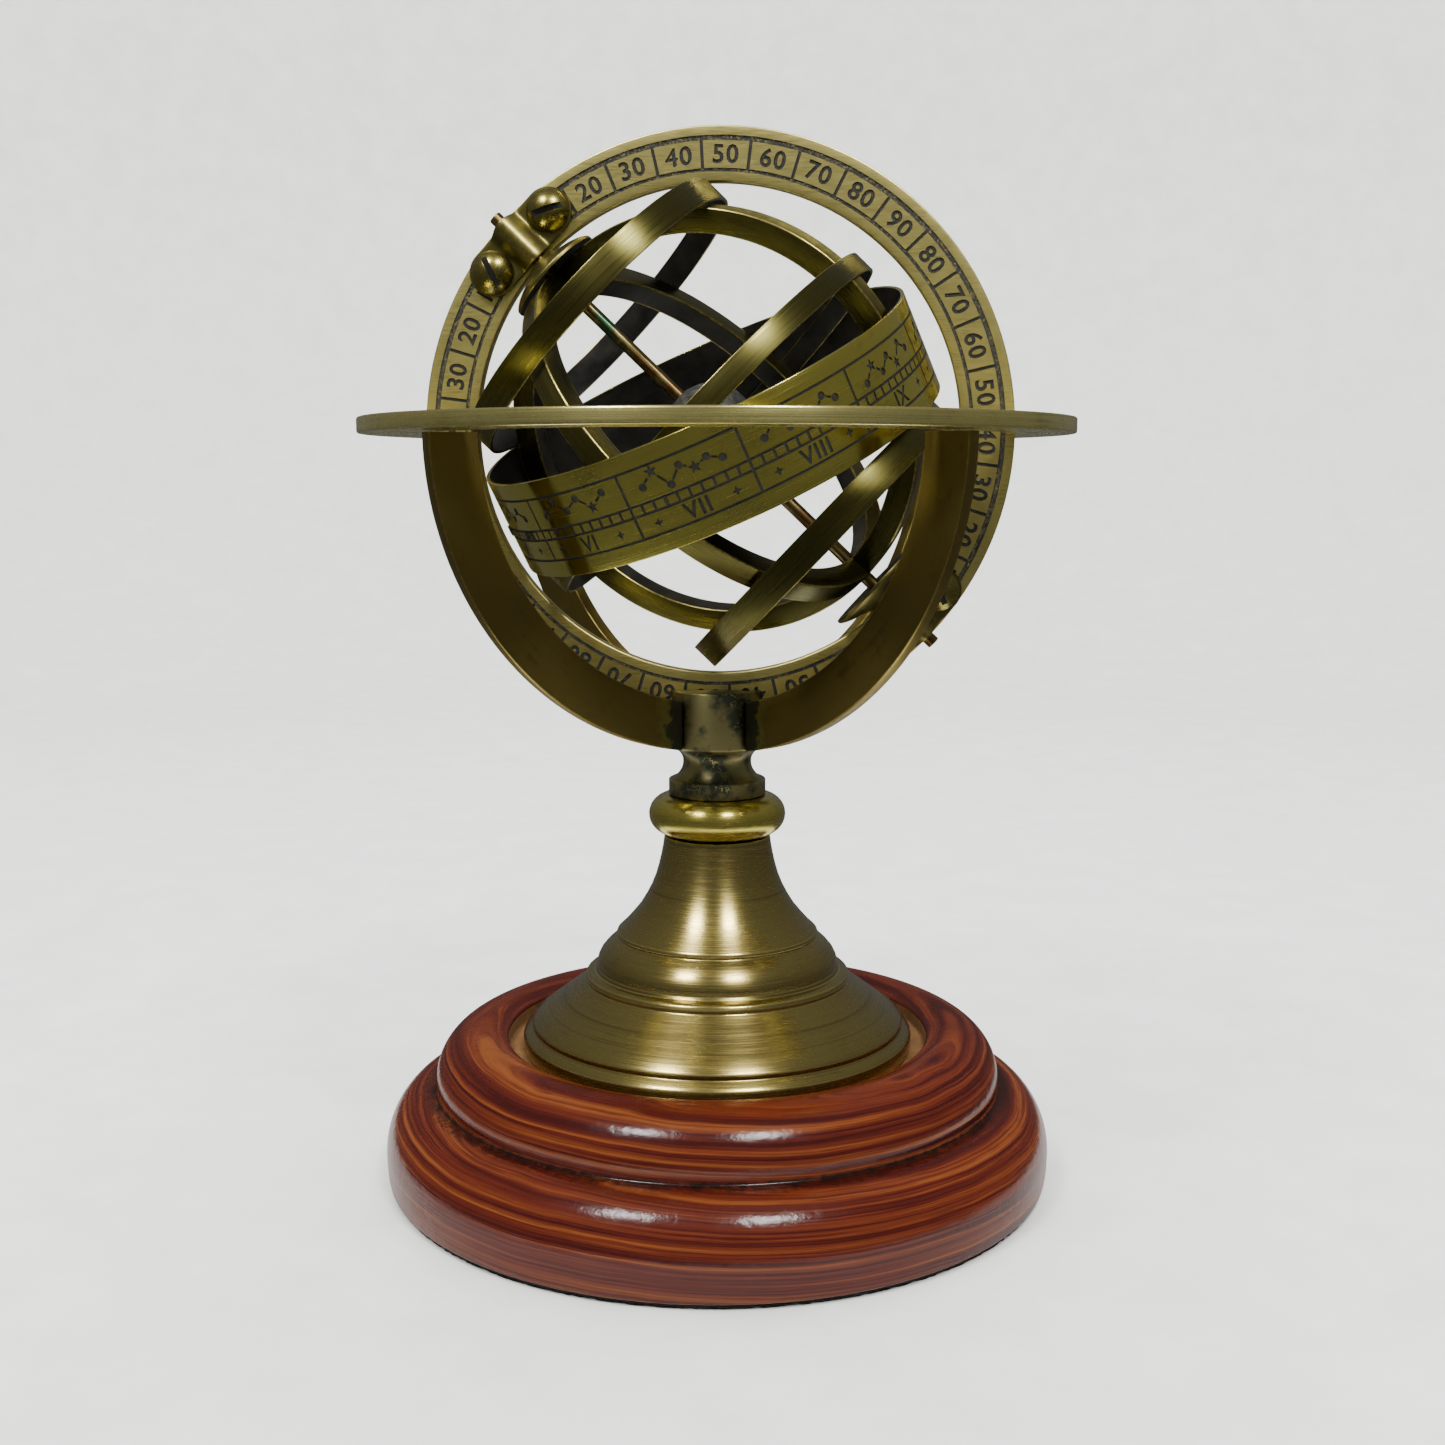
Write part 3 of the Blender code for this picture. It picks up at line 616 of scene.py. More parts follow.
def text_prism(words, height, low, high):
    """Closed letters of a given height, centred on the origin."""
    curve = bpy.data.curves.new("letters", "FONT")
    curve.body = words
    curve.extrude = 0.5
    curve.offset = 0.0 if "4" in words else 0.026    # a thickened 4 crosses itself
    curve.space_character = 1.12
    curve.resolution_u = 3
    helper = temporary("letters", curve)
    mesh = evaluated(helper)
    bpy.data.objects.remove(helper)
    builder = bmesh.new()
    builder.from_mesh(mesh)
    bmesh.ops.remove_doubles(builder, verts=builder.verts, dist=1e-4)
    xs = [v.co.x for v in builder.verts]
    ys = [v.co.y for v in builder.verts]
    scale = height / (max(ys) - min(ys))
    middle = ((max(xs) + min(xs)) / 2, (max(ys) + min(ys)) / 2)
    points = [((v.co.x - middle[0]) * scale, (v.co.y - middle[1]) * scale, high if v.co.z > 0 else low)
              for v in builder.verts]
    builder.verts.index_update()
    faces = [tuple(v.index for v in face.verts) for face in builder.faces]
    builder.free()
    return points, faces


def rectangle(x_middle, y_middle, width, height):
    a, b = width / 2, height / 2
    return [(x_middle - a, y_middle - b), (x_middle + a, y_middle - b),
            (x_middle + a, y_middle + b), (x_middle - a, y_middle + b)]


def moved(part, matrix):
    return [tuple(matrix @ Vector(point)) for point in part[0]], part[1]


# ---------------------------------------------------------------- stand

def make_base():
    bead_centre = (WOOD_RADIUS - 9.5 * MM, 6.5 * MM)
    shoulder_centre = (WOOD_RIM_RADIUS + 5.0 * MM, 19.9 * MM)
    bore = ROD_HOLE + 0.4 * MM
    underside = FELT_THICK + GAP
    outline = [
        (bore, RECESS_FLOOR),
        (WOOD_RIM_RADIUS - 0.2 * MM, RECESS_FLOOR),
        (WOOD_RIM_RADIUS, WOOD_TOP - 0.5 * MM),
        *arc(9.0 * MM, math.radians(115), math.radians(-8), 26, shoulder_centre),
        *arc(9.5 * MM, math.radians(90), 0, 20, bead_centre, 1.19),
        (WOOD_RADIUS - 0.05 * MM, 4.5 * MM),
        (WOOD_RADIUS - 0.2 * MM, 2.6 * MM),
        (WOOD_RADIUS - 0.5 * MM, underside),
        (COUNTERBORE_RADIUS, underside),
        (COUNTERBORE_RADIUS, COUNTERBORE_TOP),
        (bore, COUNTERBORE_TOP),
    ]

    def raw(radius, height, outwards):
        inside = radius < WOOD_RIM_RADIUS and height < WOOD_TOP - 0.4 * MM
        return 1 if inside or height < FELT_THICK + 2 * GAP else 0

    add_piece("wood_base_fine", sweep(outline, FINE_STEPS, zone=raw, soft=0.5 * MM), Matrix(), "stand",
              [WOOD, RAW_WOOD])


def make_felt():
    """A cut disc whose edge is slightly ragged."""
    mesh = sweep([(0, FELT_THICK), (FELT_RADIUS, FELT_THICK), (FELT_RADIUS, 0), (0, 0)], 360)
    chance = random.Random(4)
    for vert in mesh.vertices:
        if math.hypot(vert.co.x, vert.co.y) > 0.9 * FELT_RADIUS:
            pull = 1 - 0.009 * chance.random()
            vert.co.x *= pull
            vert.co.y *= pull
    add_piece("felt_pad_fine", mesh, Matrix(), "stand", [FELT])


def make_foot():
    bottom = RECESS_FLOOR + GAP
    outer = [
        (10.3, 66.7), (10.55, 64.9), (10.9, 63.0), (11.4, 60.9), (12.0, 58.8), (12.9, 56.6),
        (13.9, 54.7), (15.2, 52.6), (16.6, 50.9), (18.1, 49.2), (19.6, 47.8), (19.8, 47.2),
        (19.5, 46.7), (20.6, 46.1), (21.8, 45.0), (22.8, 43.8), (23.4, 42.6), (23.6, 41.6),
        (23.5, 40.8), (24.0, 40.1), (25.0, 40.0), (25.7, 39.6), (26.0, 38.9), (25.9, 38.2),
        (28.4, 36.4), (31.2, 34.3), (33.8, 32.4), (36.1, 30.7), (36.4, 30.2), (36.2, 29.3),
        (37.6, 28.5), (38.1, 27.9),
    ]
    outline = [(ROD_HOLE, KNOB_BOTTOM - GAP), *[(r * MM, z * MM) for r, z in outer]]
    outline += [
        (FOOT_RADIUS, 27.4 * MM), (FOOT_RADIUS, bottom), (FOOT_RADIUS - 2.2 * MM, bottom),
        (31.0 * MM, 31.0 * MM), (22.5 * MM, 37.0 * MM), (16.0 * MM, 46.0 * MM),
        (9.5 * MM, 57.0 * MM), (7.5 * MM, 62.0 * MM), (ROD_HOLE, 62.0 * MM),
    ]
    add_piece("brass_foot_fine", sweep(outline, FINE_STEPS), Matrix(), "stand",
              [FOOT_BRASS], sharp=50)


def make_knob():
    middle = (KNOB_BOTTOM + COLLAR_BOTTOM) / 2
    half = (COLLAR_BOTTOM - GAP - KNOB_BOTTOM) / 2
    bead = arc(half, math.radians(90), math.radians(-90), 28, (KNOB_RADIUS - half, middle))
    outline = [(ROD_HOLE, bead[0][1]), *bead, (ROD_HOLE, bead[-1][1])]
    add_piece("stem_knob_fine", sweep(outline, FINE_STEPS), Matrix(), "stand",
              [KNOB_BRASS])


def make_post():
    cove = [(8.6, 78.1), (8.0, 78.4), (7.4, 79.0), (6.95, 79.7), (6.7, 80.4), (6.6, 81.2),
            (6.65, 81.9), (6.9, 82.5), (7.3, 83.1), (8.0, 83.7)]
    outline = [
        (0, POST_TOP), (POST_RADIUS, POST_TOP), (POST_RADIUS, POST_FLANGE),
        *[(r * MM, z * MM) for r, z in reversed(cove)],
        (COLLAR_RADIUS, COLLAR_TOP), (COLLAR_RADIUS, COLLAR_BOTTOM), (ROD_HOLE, COLLAR_BOTTOM),
        (ROD_HOLE, ROD_TOP + GAP), (0, ROD_TOP + GAP),
    ]
    floor = RING_CENTRE.z - MERIDIAN_OUTER - GAP
    slot = prism(rectangle(0, 0, 4 * POST_RADIUS, MERIDIAN_THICK + 2 * GAP), floor, POST_TOP + 2 * MM)
    mesh = carve(sweep(outline, 96), [(mesh_from([slot]), POST_BRASS)], [POST_BRASS])
    add_piece("saddle_post_fine", mesh, Matrix(), "stand", [POST_BRASS])


def make_horizon():
    mesh = sweep(box_outline(HORIZON_INNER, HORIZON_OUTER, HORIZON_BOTTOM, HORIZON_TOP), RING_STEPS,
                 soft=0.45 * MM)
    notch = prism(rectangle(0, 0, 2 * (MERIDIAN_OUTER + GAP), MERIDIAN_THICK + 2 * GAP),
                  HORIZON_BOTTOM - MM, HORIZON_TOP + MM)
    mesh = carve(mesh, [(mesh_from([notch]), RIM_BRASS)], [RIM_BRASS])
    add_piece("horizon_ring_fine", mesh, Matrix(), "stand", [RIM_BRASS])


def make_arms():
    top = math.asin((HORIZON_BOTTOM - GAP - ARM_CENTRE_Z) / ARM_OUTER)
    reach = POST_RADIUS + GAP
    azimuths = {"front_right": -ARM_AZIMUTH, "front_left": math.pi + ARM_AZIMUTH,
                "back_left": math.pi - ARM_AZIMUTH, "back_right": ARM_AZIMUTH}

    def along(radius, share):
        low = -math.acos(reach / radius)
        return low + (top - low) * share

    for place, azimuth in azimuths.items():
        out = Vector((math.cos(azimuth), math.sin(azimuth), 0))
        up = Vector((0, 0, 1))
        matrix = frame_from(out, up, out.cross(up), Vector((0, 0, ARM_CENTRE_Z)))
        mesh = sweep(box_outline(ARM_INNER, ARM_OUTER, -ARM_THICK / 2, ARM_THICK / 2), 90, along,
                     soft=0.3 * MM)
        add_piece(f"cradle_arm_{place}_fine", mesh, matrix, "stand", [ARM_BRASS])


def make_fastening():
    """The hidden rod, washer and nut keep their CAD shapes."""
    for node in ("tie_rod", "base_washer", "base_nut"):
        mesh = frame["nodes"][node].data
        mesh.materials.clear()
        mesh.materials.append(STEEL)


# ---------------------------------------------------------------- meridian

def scale_cutters():
    """The dial's grooves: two borders, a divider at each 5 past 10, and a numeral at each 10."""
    top = MERIDIAN_THICK / 2
    low, high = top - SCALE_DEPTH, top + GAP
    borders = [(sweep(box_outline(inner, outer, low, high), RING_STEPS, soft=0), BORDER_INK)
               for inner, outer in SCALE_BORDERS]
    inner, outer = SCALE_BORDERS[1][1] - 0.1 * MM, SCALE_BORDERS[0][0] + 0.1 * MM
    bar = prism(rectangle((inner + outer) / 2, 0, outer - inner, DIVIDER_WIDTH), low, high)
    dividers, numerals, second_cuts = [], [], []
    for step in range(36):
        turn = SCALE_ZERO - math.radians(10 * step)
        half_step = Matrix.Rotation(turn + math.radians(5), 4, "Z")
        dividers.append(moved(bar, half_step))
        value = 10 * min(step % 18, 18 - step % 18)
        upright = Matrix.Rotation(turn - math.pi / 2, 4, "Z") @ Matrix.Translation((0, NUMERAL_RADIUS, 0))
        if value == 40:
            # Two thin cuts side by side are as bold as the others, which are thickened.
            thin = text_prism(str(value), NUMERAL_HEIGHT - 2 * THIN_SHIFT[1], low, high)
            numerals.append(moved(thin, upright @ Matrix.Translation((-THIN_SHIFT[0], -THIN_SHIFT[1], 0))))
            second_cuts.append(moved(thin, upright @ Matrix.Translation((*THIN_SHIFT, 0))))
        else:
            numerals.append(moved(text_prism(str(value), NUMERAL_HEIGHT, low, high), upright))
    return [*borders, *[(mesh_from(group), INK) for group in (dividers, numerals, second_cuts)]]


def strap_frame(pole):
    """X along the ring, Y outwards along the axle, Z out of the ring's front face."""
    origin = RING_CENTRE + pole * MERIDIAN_MID + FRONT * (MERIDIAN_THICK / 2)
    return frame_from(pole.cross(FRONT), pole, FRONT, origin)


def screw_holes(frames):
    """Through holes at both screws of each strap frame given."""
    above, below = 8 * MM, -6 * MM
    outline = [(0, above), (SCREW_HOLE_RADIUS, above), (SCREW_HOLE_RADIUS, below), (0, below)]
    holes = []
    for matrix in frames:
        for side in (-1, 1):
            hole = sweep(outline, 32, soft=0)
            hole.transform(matrix @ Matrix.Translation((side * STRAP_REACH, 0, 0)))
            # The hole walls take the painted shade of near-black metal.
            holes.append((hole, PAINTED_SHADE))
    return holes


def make_meridian():
    half = MERIDIAN_THICK / 2
    ring = sweep(box_outline(MERIDIAN_INNER, MERIDIAN_OUTER, -half, half), RING_STEPS, soft=0.3 * MM)
    place = frame_from(Vector((1, 0, 0)), Vector((0, 0, 1)), FRONT, RING_CENTRE)
    holes = screw_holes([place.inverted() @ strap_frame(pole) for pole in (POLE, -POLE)])
    mesh = carve(ring, [*scale_cutters(), *holes], [FACE_BRASS])
    add_piece("meridian_ring_fine", mesh, place, "meridian", [FACE_BRASS])


def strap_mesh():
    """A plate with round ends, drawn up over the axle in a smooth hump."""
    hump_half = 3.4 * MM
    flare = 0.4 * MM
    end = STRAP_REACH + STRAP_END_RADIUS
    across = 12
    columns = 96
    builder = bmesh.new()
    wear = builder.verts.layers.float.new("wear")
    sheets = []
    for side in (1, 0):
        sheet = []
        for i in range(columns + 1):
            x = -end * math.cos(math.pi * i / columns)
            rise = 0.0
            if abs(x) < hump_half:
                rise = (0.5 * (1 + math.cos(math.pi * x / hump_half))) ** 0.6
            over = max(0.0, abs(x) - STRAP_REACH)
            width = math.sqrt(max(STRAP_END_RADIUS ** 2 - over ** 2, 0.0)) + flare * rise
            height = GAP + (HUMP_TOP - STRAP_THICK - GAP) * rise + side * STRAP_THICK
            row = []
            for j in range(across + 1):
                y = width * (2 * j / across - 1)
                vert = builder.verts.new((x, y, height))
                vert[wear] = 0.9 * rise ** 3 if side else 0.0
                row.append(vert)
            sheet.append(row)
        sheets.append(sheet)
    for sheet in sheets:
        for row, following in zip(sheet, sheet[1:]):
            for j in range(across):
                builder.faces.new((row[j], row[j + 1], following[j + 1], following[j]))
    upper, lower = sheets
    for j in (0, across):
        for i in range(columns):
            builder.faces.new((upper[i][j], upper[i + 1][j], lower[i + 1][j], lower[i][j]))
    bmesh.ops.remove_doubles(builder, verts=builder.verts, dist=1e-6)
    bmesh.ops.recalc_face_normals(builder, faces=builder.faces)
    mesh = bpy.data.meshes.new("strap")
    builder.to_mesh(mesh)
    builder.free()
    return mesh


def screw_mesh(angle):
    """A domed head with a sawn slot, on a short shank."""
    seat = 2 * GAP + STRAP_THICK
    tip = 1.2 * MM - MERIDIAN_THICK
    sphere = (SCREW_HEAD_RADIUS ** 2 + SCREW_HEAD_HEIGHT ** 2) / (2 * SCREW_HEAD_HEIGHT)
    rim = math.asin(SCREW_HEAD_RADIUS / sphere)
    crown = seat + SCREW_HEAD_HEIGHT
    steps = 14
    turns = [rim * i / steps for i in range(steps + 1)]
    dome = [(sphere * math.sin(turn), crown - sphere * (1 - math.cos(turn))) for turn in turns]
    outline = [*dome, (SCREW_SHANK_RADIUS, seat), (SCREW_SHANK_RADIUS, tip), (0, tip)]
    slot = prism(rectangle(0, 0, SLOT_WIDTH, 12 * MM), crown - SLOT_DEPTH, crown + MM)
    slot = moved(slot, Matrix.Rotation(angle, 4, "Z"))
    # The slot's cut faces take the painted shade of near-black metal.
    mesh = carve(sweep(outline, 64, soft=0.1 * MM), [(mesh_from([slot]), PAINTED_SHADE)], [SCREW_BRASS])
    return bevelled(mesh, 0.07 * MM, 2, 50)


def make_straps():
    for end, pole in (("north", POLE), ("south", -POLE)):
        place = strap_frame(pole)
        plate = carve(bevelled(strap_mesh(), 0.18 * MM), screw_holes([Matrix()]), [STRAP_BRASS])
        add_piece(f"{end}_strap_fine", plate, place, "meridian", [STRAP_BRASS])
        for side, (letter, angle) in zip((-1, 1), SLOT_ANGLES.items()):
            seat = place @ Matrix.Translation((side * STRAP_REACH, 0, 0))
            add_piece(f"{end}_screw_{letter}_fine", screw_mesh(angle), seat, "meridian",
                      [SCREW_BRASS])


# ---------------------------------------------------------------- sphere

TURN_A = EAST * math.cos(CAGE_TURN) + FRONT * math.sin(CAGE_TURN)
TURN_B = FRONT * math.cos(CAGE_TURN) - EAST * math.sin(CAGE_TURN)
CAGE_CENTRE = AXLE_CENTRE + POLE * CAGE_SHIFT
CAGE_FRAME = frame_about(POLE, CAGE_CENTRE, TURN_A)
AXLE_FRAME = frame_about(POLE, AXLE_CENTRE, TURN_A)


def black_inside(radius, height, outwards):
    """Paints shade, as near-black metal, on the faces that look towards the axle."""
    return 1 if outwards < -0.3 * MM else 0


def make_axle():
    rod = [(0, AXLE_HALF), (AXLE_RADIUS, AXLE_HALF), (AXLE_RADIUS, -AXLE_HALF), (0, -AXLE_HALF)]
    add_piece("polar_axle_fine", sweep(rod, 40), AXLE_FRAME, "sphere", [AXLE_BRASS])


def make_earth():
    """A cast ball with shallow round dents."""
    dent_count, dent_depth = 90, 0.22 * MM
    tip = math.acos(BORE_RADIUS / EARTH_RADIUS)
    mesh = sweep(arc(EARTH_RADIUS, tip, -tip, 60), 120)
    chance = random.Random(11)
    dents = [(Vector([chance.uniform(-1, 1) for _ in range(3)]).normalized(), chance.uniform(0.5, 1.6))
             for _ in range(dent_count)]
    for vert in mesh.vertices:
        way = vert.co.normalized()
        depth = max(max(0.0, 1 - (way - dent).length * EARTH_RADIUS / MM / size) for dent, size in dents)
        vert.co -= way * dent_depth * depth
    add_piece("earth_ball_fine", mesh, CAGE_FRAME, "sphere", [BALL])


def make_caps():
    bell = [(3.2, 0), (4.2, -0.8), (5.2, -1.2), (6.2, -1.55), (7.4, -1.95), (8.6, -2.5), (9.3, -2.95)]
    outline = [(r * MM, CAP_TOP_HEIGHT + z * MM) for r, z in bell]
    outline += [
        (CAP_RADIUS, CAP_RIM_HEIGHT + 0.6 * MM), (CAP_RADIUS, CAP_RIM_HEIGHT),
        (8.2 * MM, CAP_RIM_HEIGHT + 0.5 * MM), (5.0 * MM, CAP_TOP_HEIGHT - 2.4 * MM),
        (BORE_RADIUS, CAP_TOP_HEIGHT - 2.4 * MM), (BORE_RADIUS, CAP_TOP_HEIGHT),
    ]

    # Painted shade: the faces inside the cap's hollow take the near-black metal.
    def hollow(radius, height, outwards):
        return 1 if radius < 9.0 * MM and height < CAP_TOP_HEIGHT - 1.9 * MM and outwards <= 0 else 0

    flip = Matrix.Rotation(math.pi, 4, "X")
    for end, place in (("north", AXLE_FRAME), ("south", AXLE_FRAME @ flip)):
        add_piece(f"{end}_cap_fine", sweep(outline, 96, zone=hollow, soft=0.12 * MM), place, "sphere",
                  [STRAP_BRASS, PAINTED_SHADE])


def make_colures():
    half = COLURE_WIDTH / 2
    outline = box_outline(COLURE_INNER, COLURE_OUTER, -half, half)
    whole = frame_about(TURN_B, CAGE_CENTRE, Vector((0, 0, 1)))
    ring = sweep(outline, FINE_STEPS, zone=black_inside, soft=0.35 * MM)
    bore = sweep([(0, AXLE_HALF), (BORE_RADIUS, AXLE_HALF), (BORE_RADIUS, -AXLE_HALF), (0, -AXLE_HALF)],
                 32, soft=0)
    bore.transform(whole.inverted() @ CAGE_FRAME)
    # The bore's cut faces take the painted shade of near-black metal.
    mesh = carve(ring, [(bore, PAINTED_SHADE)], [CAGE_BRASS, PAINTED_SHADE])
    add_piece("solstitial_colure_fine", mesh, whole, "sphere", [CAGE_BRASS, PAINTED_SHADE])

    def along(radius, share):
        end = math.acos((half + GAP) / radius)
        return end * (2 * share - 1)

    for name, out in (("front", TURN_B), ("back", -TURN_B)):
        place = frame_from(out, POLE, out.cross(POLE), CAGE_CENTRE)
        mesh = sweep(outline, 110, along, black_inside, 0.35 * MM)
        add_piece(f"equinoctial_colure_{name}_fine", mesh, place, "sphere",
                  [CAGE_BRASS, PAINTED_SHADE])


def make_strips():
    half = EQUATOR_WIDTH / 2
    outline = box_outline(EQUATOR_INNER, EQUATOR_INNER + STRIP_THICK, -half, half)
    add_piece("equator_ring_fine", sweep(outline, FINE_STEPS, zone=black_inside, soft=0.15 * MM),
              CAGE_FRAME, "sphere", [CAGE_BRASS, PAINTED_SHADE])
    half = PARALLEL_WIDTH / 2
    for name, height in (("cancer", PARALLEL_HEIGHT), ("capricorn", -PARALLEL_HEIGHT)):
        outline = box_outline(PARALLEL_INNER, PARALLEL_INNER + STRIP_THICK, height - half, height + half)
        add_piece(f"tropic_of_{name}_ring_fine",
                  sweep(outline, FINE_STEPS, zone=black_inside, soft=0.15 * MM), CAGE_FRAME, "sphere",
                  [CAGE_BRASS, PAINTED_SHADE])


def disc(x, y, radius, count=14):
    return [(x + radius * math.cos(2 * math.pi * k / count), y + radius * math.sin(2 * math.pi * k / count))
            for k in range(count)]


def star(x, y, radius, rays=5):
    reach = (radius, 0.42 * radius)
    turns = [math.pi / 2 + math.pi * k / rays for k in range(2 * rays)]
    return [(x + reach[k % 2] * math.cos(a), y + reach[k % 2] * math.sin(a)) for k, a in enumerate(turns)]


def stroke(start, end, width, trim_start, trim_end):
    """A thin bar between two marks, stopping short of each."""
    a, b = Vector(start), Vector(end)
    way = (b - a).normalized()
    side = Vector((-way.y, way.x)) * width / 2
    a, b = a + way * trim_start, b - way * trim_end
    return [tuple(a - side), tuple(b - side), tuple(b + side), tuple(a + side)]


def band_cutters():
    """Twelve equal panels: an invented star pattern above, a track of cells, and a numeral below."""
    low, high = -BAND_DEPTH, GAP

    def level(share):
        return ZODIAC_WIDTH * (0.5 - share)

    def wrap(point):
        x, y, depth = point
        turn = x / ZODIAC_OUTER + BAND_PHASE
        radius = ZODIAC_OUTER + depth
        return (radius * math.cos(turn), radius * math.sin(turn), y)

    sector = 2 * math.pi * ZODIAC_OUTER / 12
    lines = [sweep(box_outline(ZODIAC_OUTER + low, ZODIAC_OUTER + high, level(share) - BAND_LINE / 2,
                               level(share) + BAND_LINE / 2), RING_STEPS, soft=0)
             for share in (BAND_TOP_LINE, *BAND_TRACK, BAND_BOTTOM_LINE)]
    upright, marks, strokes = [], [], [[], []]
    line_half = BAND_LINE / 2
    spans = ((BAND_TOP_LINE, BAND_TRACK[0]), (BAND_TRACK[1], BAND_BOTTOM_LINE))
    track_middle = (level(BAND_TRACK[0]) + level(BAND_TRACK[1])) / 2
    track_height = level(BAND_TRACK[0]) - level(BAND_TRACK[1])
    chance = random.Random(27)
    for index in range(12):
        left = sector * index
        for upper, lower in spans:
            height = level(upper) - level(lower) - BAND_LINE + 0.1 * MM
            middle = (level(upper) + level(lower)) / 2
            upright.append(prism(rectangle(left, middle, 0.5 * MM, height), low, high))
        for cell in range(TRACK_CELLS):
            x = left + sector * cell / TRACK_CELLS
            upright.append(prism(rectangle(x, track_middle, 0.5 * MM, track_height - line_half), low, high))
        centre = left + sector / 2
        numeral = text_prism(ROMAN[index], ROMAN_HEIGHT, low, high)
        label_level = (level(BAND_TRACK[1]) + level(BAND_BOTTOM_LINE)) / 2
        marks.append(moved(numeral, Matrix.Translation((centre, label_level, 0))))
        for side in (-1, 1):
            place = centre + side * SIDE_STAR_REACH
            marks.append(prism(star(place, label_level, SIDE_STAR_RADIUS, 4), low, high))
        count = chance.choice((6, 7))
        middle = (level(BAND_TOP_LINE) + level(BAND_TRACK[0])) / 2
        points = []
        for k in range(count):
            x = centre + (k / (count - 1) - 0.5) * PATTERN_WIDTH
            y = middle + (1 if k % 2 else -1) * chance.uniform(*PATTERN_SWING)
            points.append((x, y))
        sizes = [LARGE_MARK if k % 3 == 1 else SMALL_MARK for k in range(count)]
        for k, ((x, y), size) in enumerate(zip(points, sizes)):
            shape = star(x, y, size) if k % 3 == 1 else disc(x, y, size)
            marks.append(prism(shape, low, high))
        for k, (start, end) in enumerate(zip(points, points[1:])):
            bar = stroke(start, end, PATTERN_LINE, sizes[k] + 0.1 * MM, sizes[k + 1] + 0.1 * MM)
            strokes[k % 2].append(prism(bar, low, high))
    cutters = [(mesh, INK) for mesh in lines]
    cutters += [(mesh_from(group, wrap), INK) for group in (upright, marks, *strokes)]
    return cutters


def make_zodiac():
    node = EAST * math.cos(ZODIAC_NODE) + FRONT * math.sin(ZODIAC_NODE)
    lean = FRONT * math.cos(ZODIAC_NODE) - EAST * math.sin(ZODIAC_NODE)
    axis = POLE * math.cos(ZODIAC_TILT) + lean * math.sin(ZODIAC_TILT)
    half = ZODIAC_WIDTH / 2
    ring = sweep(box_outline(ZODIAC_INNER, ZODIAC_OUTER, -half, half), 240, zone=black_inside,
                 soft=0.15 * MM)
    mesh = carve(ring, band_cutters(), [BAND_BRASS, PAINTED_SHADE])
    add_piece("zodiac_band_fine", mesh, frame_about(axis, CAGE_CENTRE, node), "sphere",
              [BAND_BRASS, PAINTED_SHADE])


# ---------------------------------------------------------------- setting

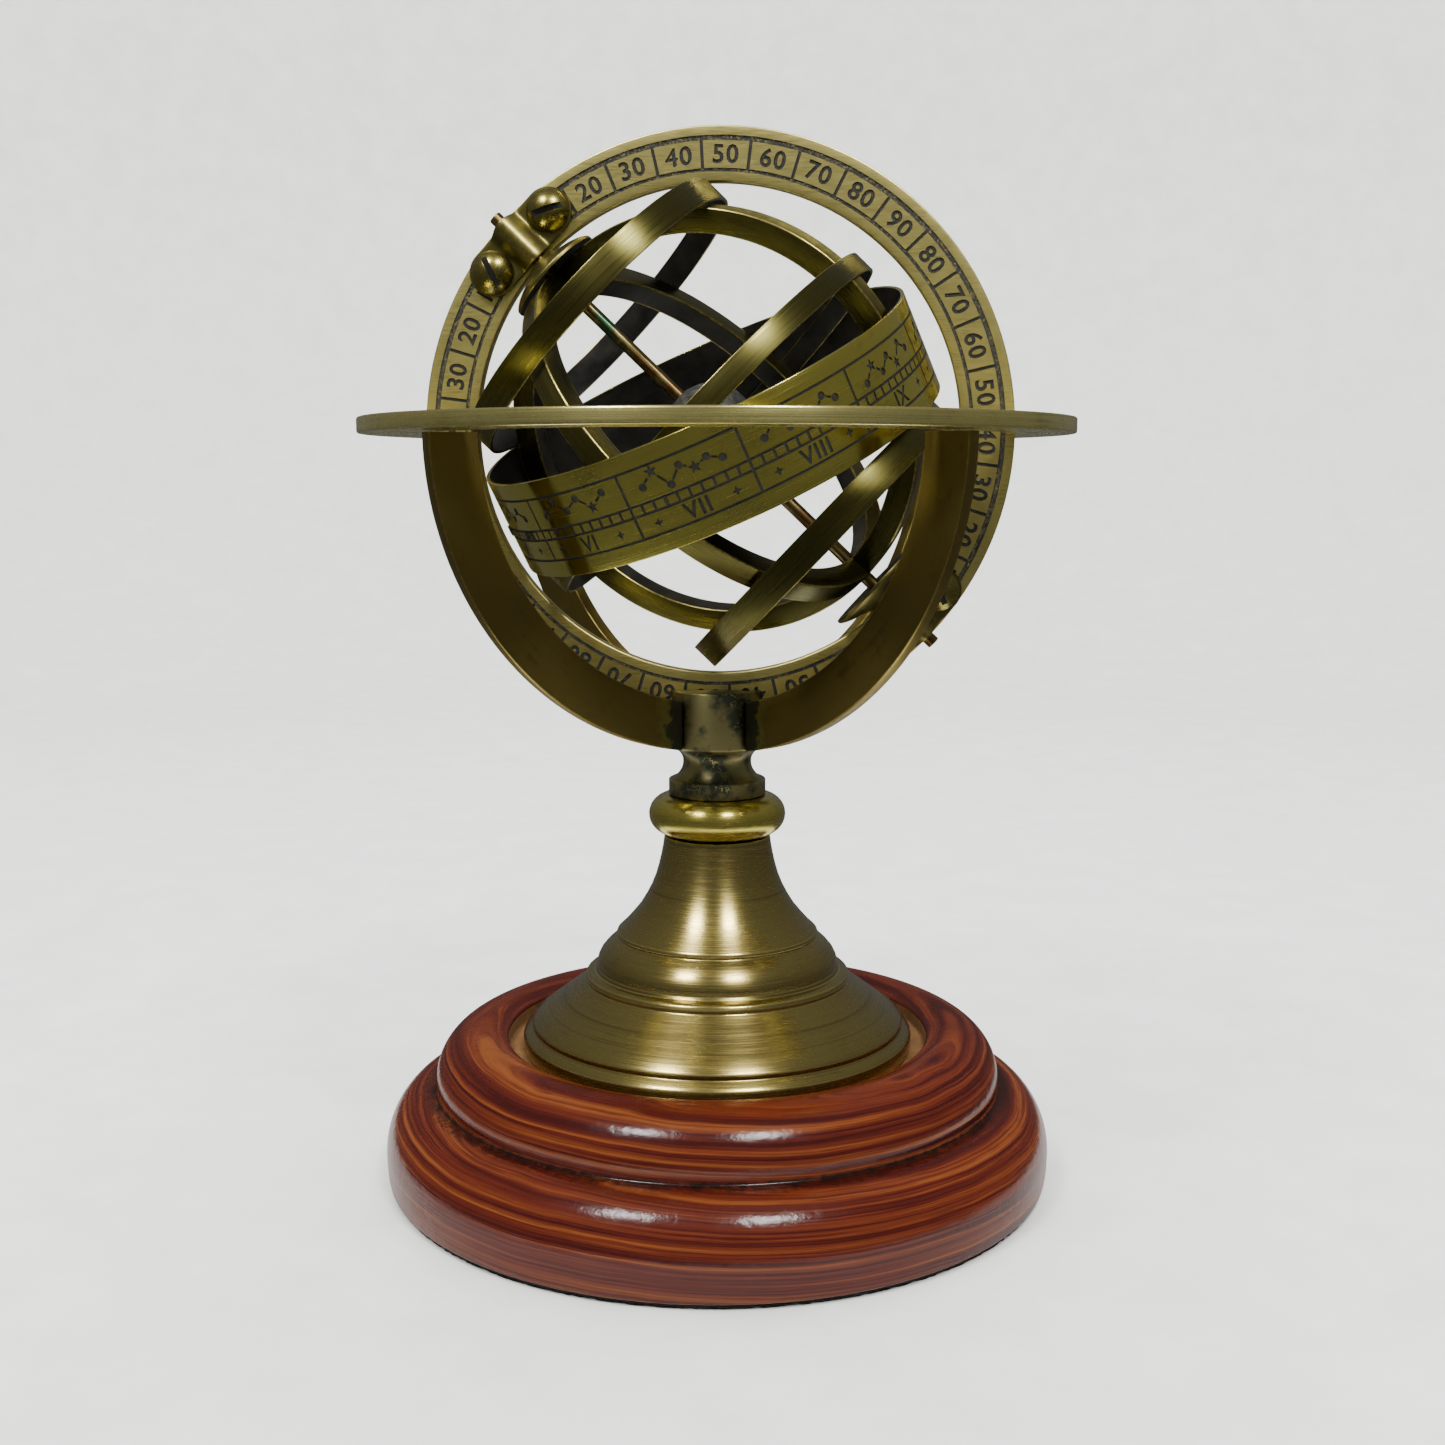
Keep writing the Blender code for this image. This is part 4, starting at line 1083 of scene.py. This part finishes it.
def make_backdrop():
    """Pale paper under the object, in a wide pale bowl that the polished metal doesn't mirror."""
    paper = plain_noise_material("pale_paper", (0.66, 0.665, 0.65), (0.72, 0.725, 0.71),
                                 scale=0.05, rough=0.9, depth=0.00002)
    wall, bend, height = 0.75, 0.45, 1.7
    around, rise = 96, 24
    profile = [(wall + bend * math.sin(a), bend * (1 - math.cos(a)))
               for a in [math.pi / 2 * k / rise for k in range(rise + 1)]]
    profile.append((wall + bend, height))
    for name, outline, mirrored in (("paper_sheet", [(0, 0), (SHEET_RADIUS, 0)], True),
                                    ("paper_bowl", [(SHEET_RADIUS, 0), *profile], False)):
        builder = bmesh.new()
        rows = [[builder.verts.new((r * math.cos(a), r * math.sin(a), z)) for r, z in outline]
                for a in [2 * math.pi * k / around for k in range(around)]]
        for row, following in zip(rows, rows[1:] + rows[:1]):
            for k in range(len(outline) - 1):
                builder.faces.new((row[k], row[k + 1], following[k + 1], following[k]))
        bmesh.ops.remove_doubles(builder, verts=builder.verts, dist=1e-7)
        mesh = bpy.data.meshes.new(name)
        builder.to_mesh(mesh)
        builder.free()
        mesh.shade_smooth()
        mesh.materials.append(paper)
        backdrop = bpy.data.objects.new(name, mesh)
        bpy.context.scene.collection.objects.link(backdrop)
        backdrop.visible_glossy = mirrored


def add_light(name, azimuth, elevation, distance, size, power, mirrored=True):
    """A square soft light, aimed at the middle of the object. Azimuth 0 is straight in front."""
    aim = Vector((0, 0, 0.1))
    a, e = math.radians(azimuth), math.radians(elevation)
    way = Vector((math.sin(a) * math.cos(e), -math.cos(a) * math.cos(e), math.sin(e)))
    data = bpy.data.lights.new(name, "AREA")
    data.size = size
    data.energy = power
    light = bpy.data.objects.new(name, data)
    bpy.context.scene.collection.objects.link(light)
    light.location = aim + way * distance
    light.rotation_euler = way.to_track_quat("Z", "Y").to_euler()
    light.visible_glossy = mirrored


def make_lighting():
    """Two ceiling lamps and a broad fill, in a room that the metal mirrors as dim."""
    for name, azimuth in (("left_lamp", -36), ("right_lamp", 28)):
        add_light(name, azimuth, elevation=52, distance=1.15, size=0.22, power=10)
    add_light("overhead_fill", 180, elevation=75, distance=1.1, size=1.5, power=34, mirrored=False)
    world = bpy.data.worlds.new("studio")
    world.use_nodes = True
    tree = world.node_tree
    ray = put(tree, "ShaderNodeTexCoord").outputs["Generated"]
    height = put(tree, "ShaderNodeSeparateXYZ", {0: ray}).outputs[2]
    strength = remap(tree, height, -0.1, 0.95, 0.13, 0.31)
    background = tree.nodes["Background"]
    background.inputs["Color"].default_value = (0.95, 0.97, 0.96, 1)
    tree.links.new(strength, background.inputs["Strength"])
    bpy.context.scene.world = world


def make_camera():
    """The place, aim and lens that fit the photograph's ring and base outlines."""
    data = bpy.data.cameras.new("camera")
    data.sensor_width = 36
    data.lens = 43.27
    camera = bpy.data.objects.new("camera", data)
    bpy.context.scene.collection.objects.link(camera)
    camera.location = (0.03009, -0.33200, 0.13552)
    camera.rotation_euler = (math.radians(82), 0, math.radians(5))
    bpy.context.scene.camera = camera


make_camera()
make_base()
make_felt()
make_foot()
make_knob()
make_post()
make_horizon()
make_arms()
make_fastening()
make_meridian()
make_straps()
make_axle()
make_earth()
make_caps()
make_colures()
make_strips()
make_zodiac()
make_backdrop()
make_lighting()
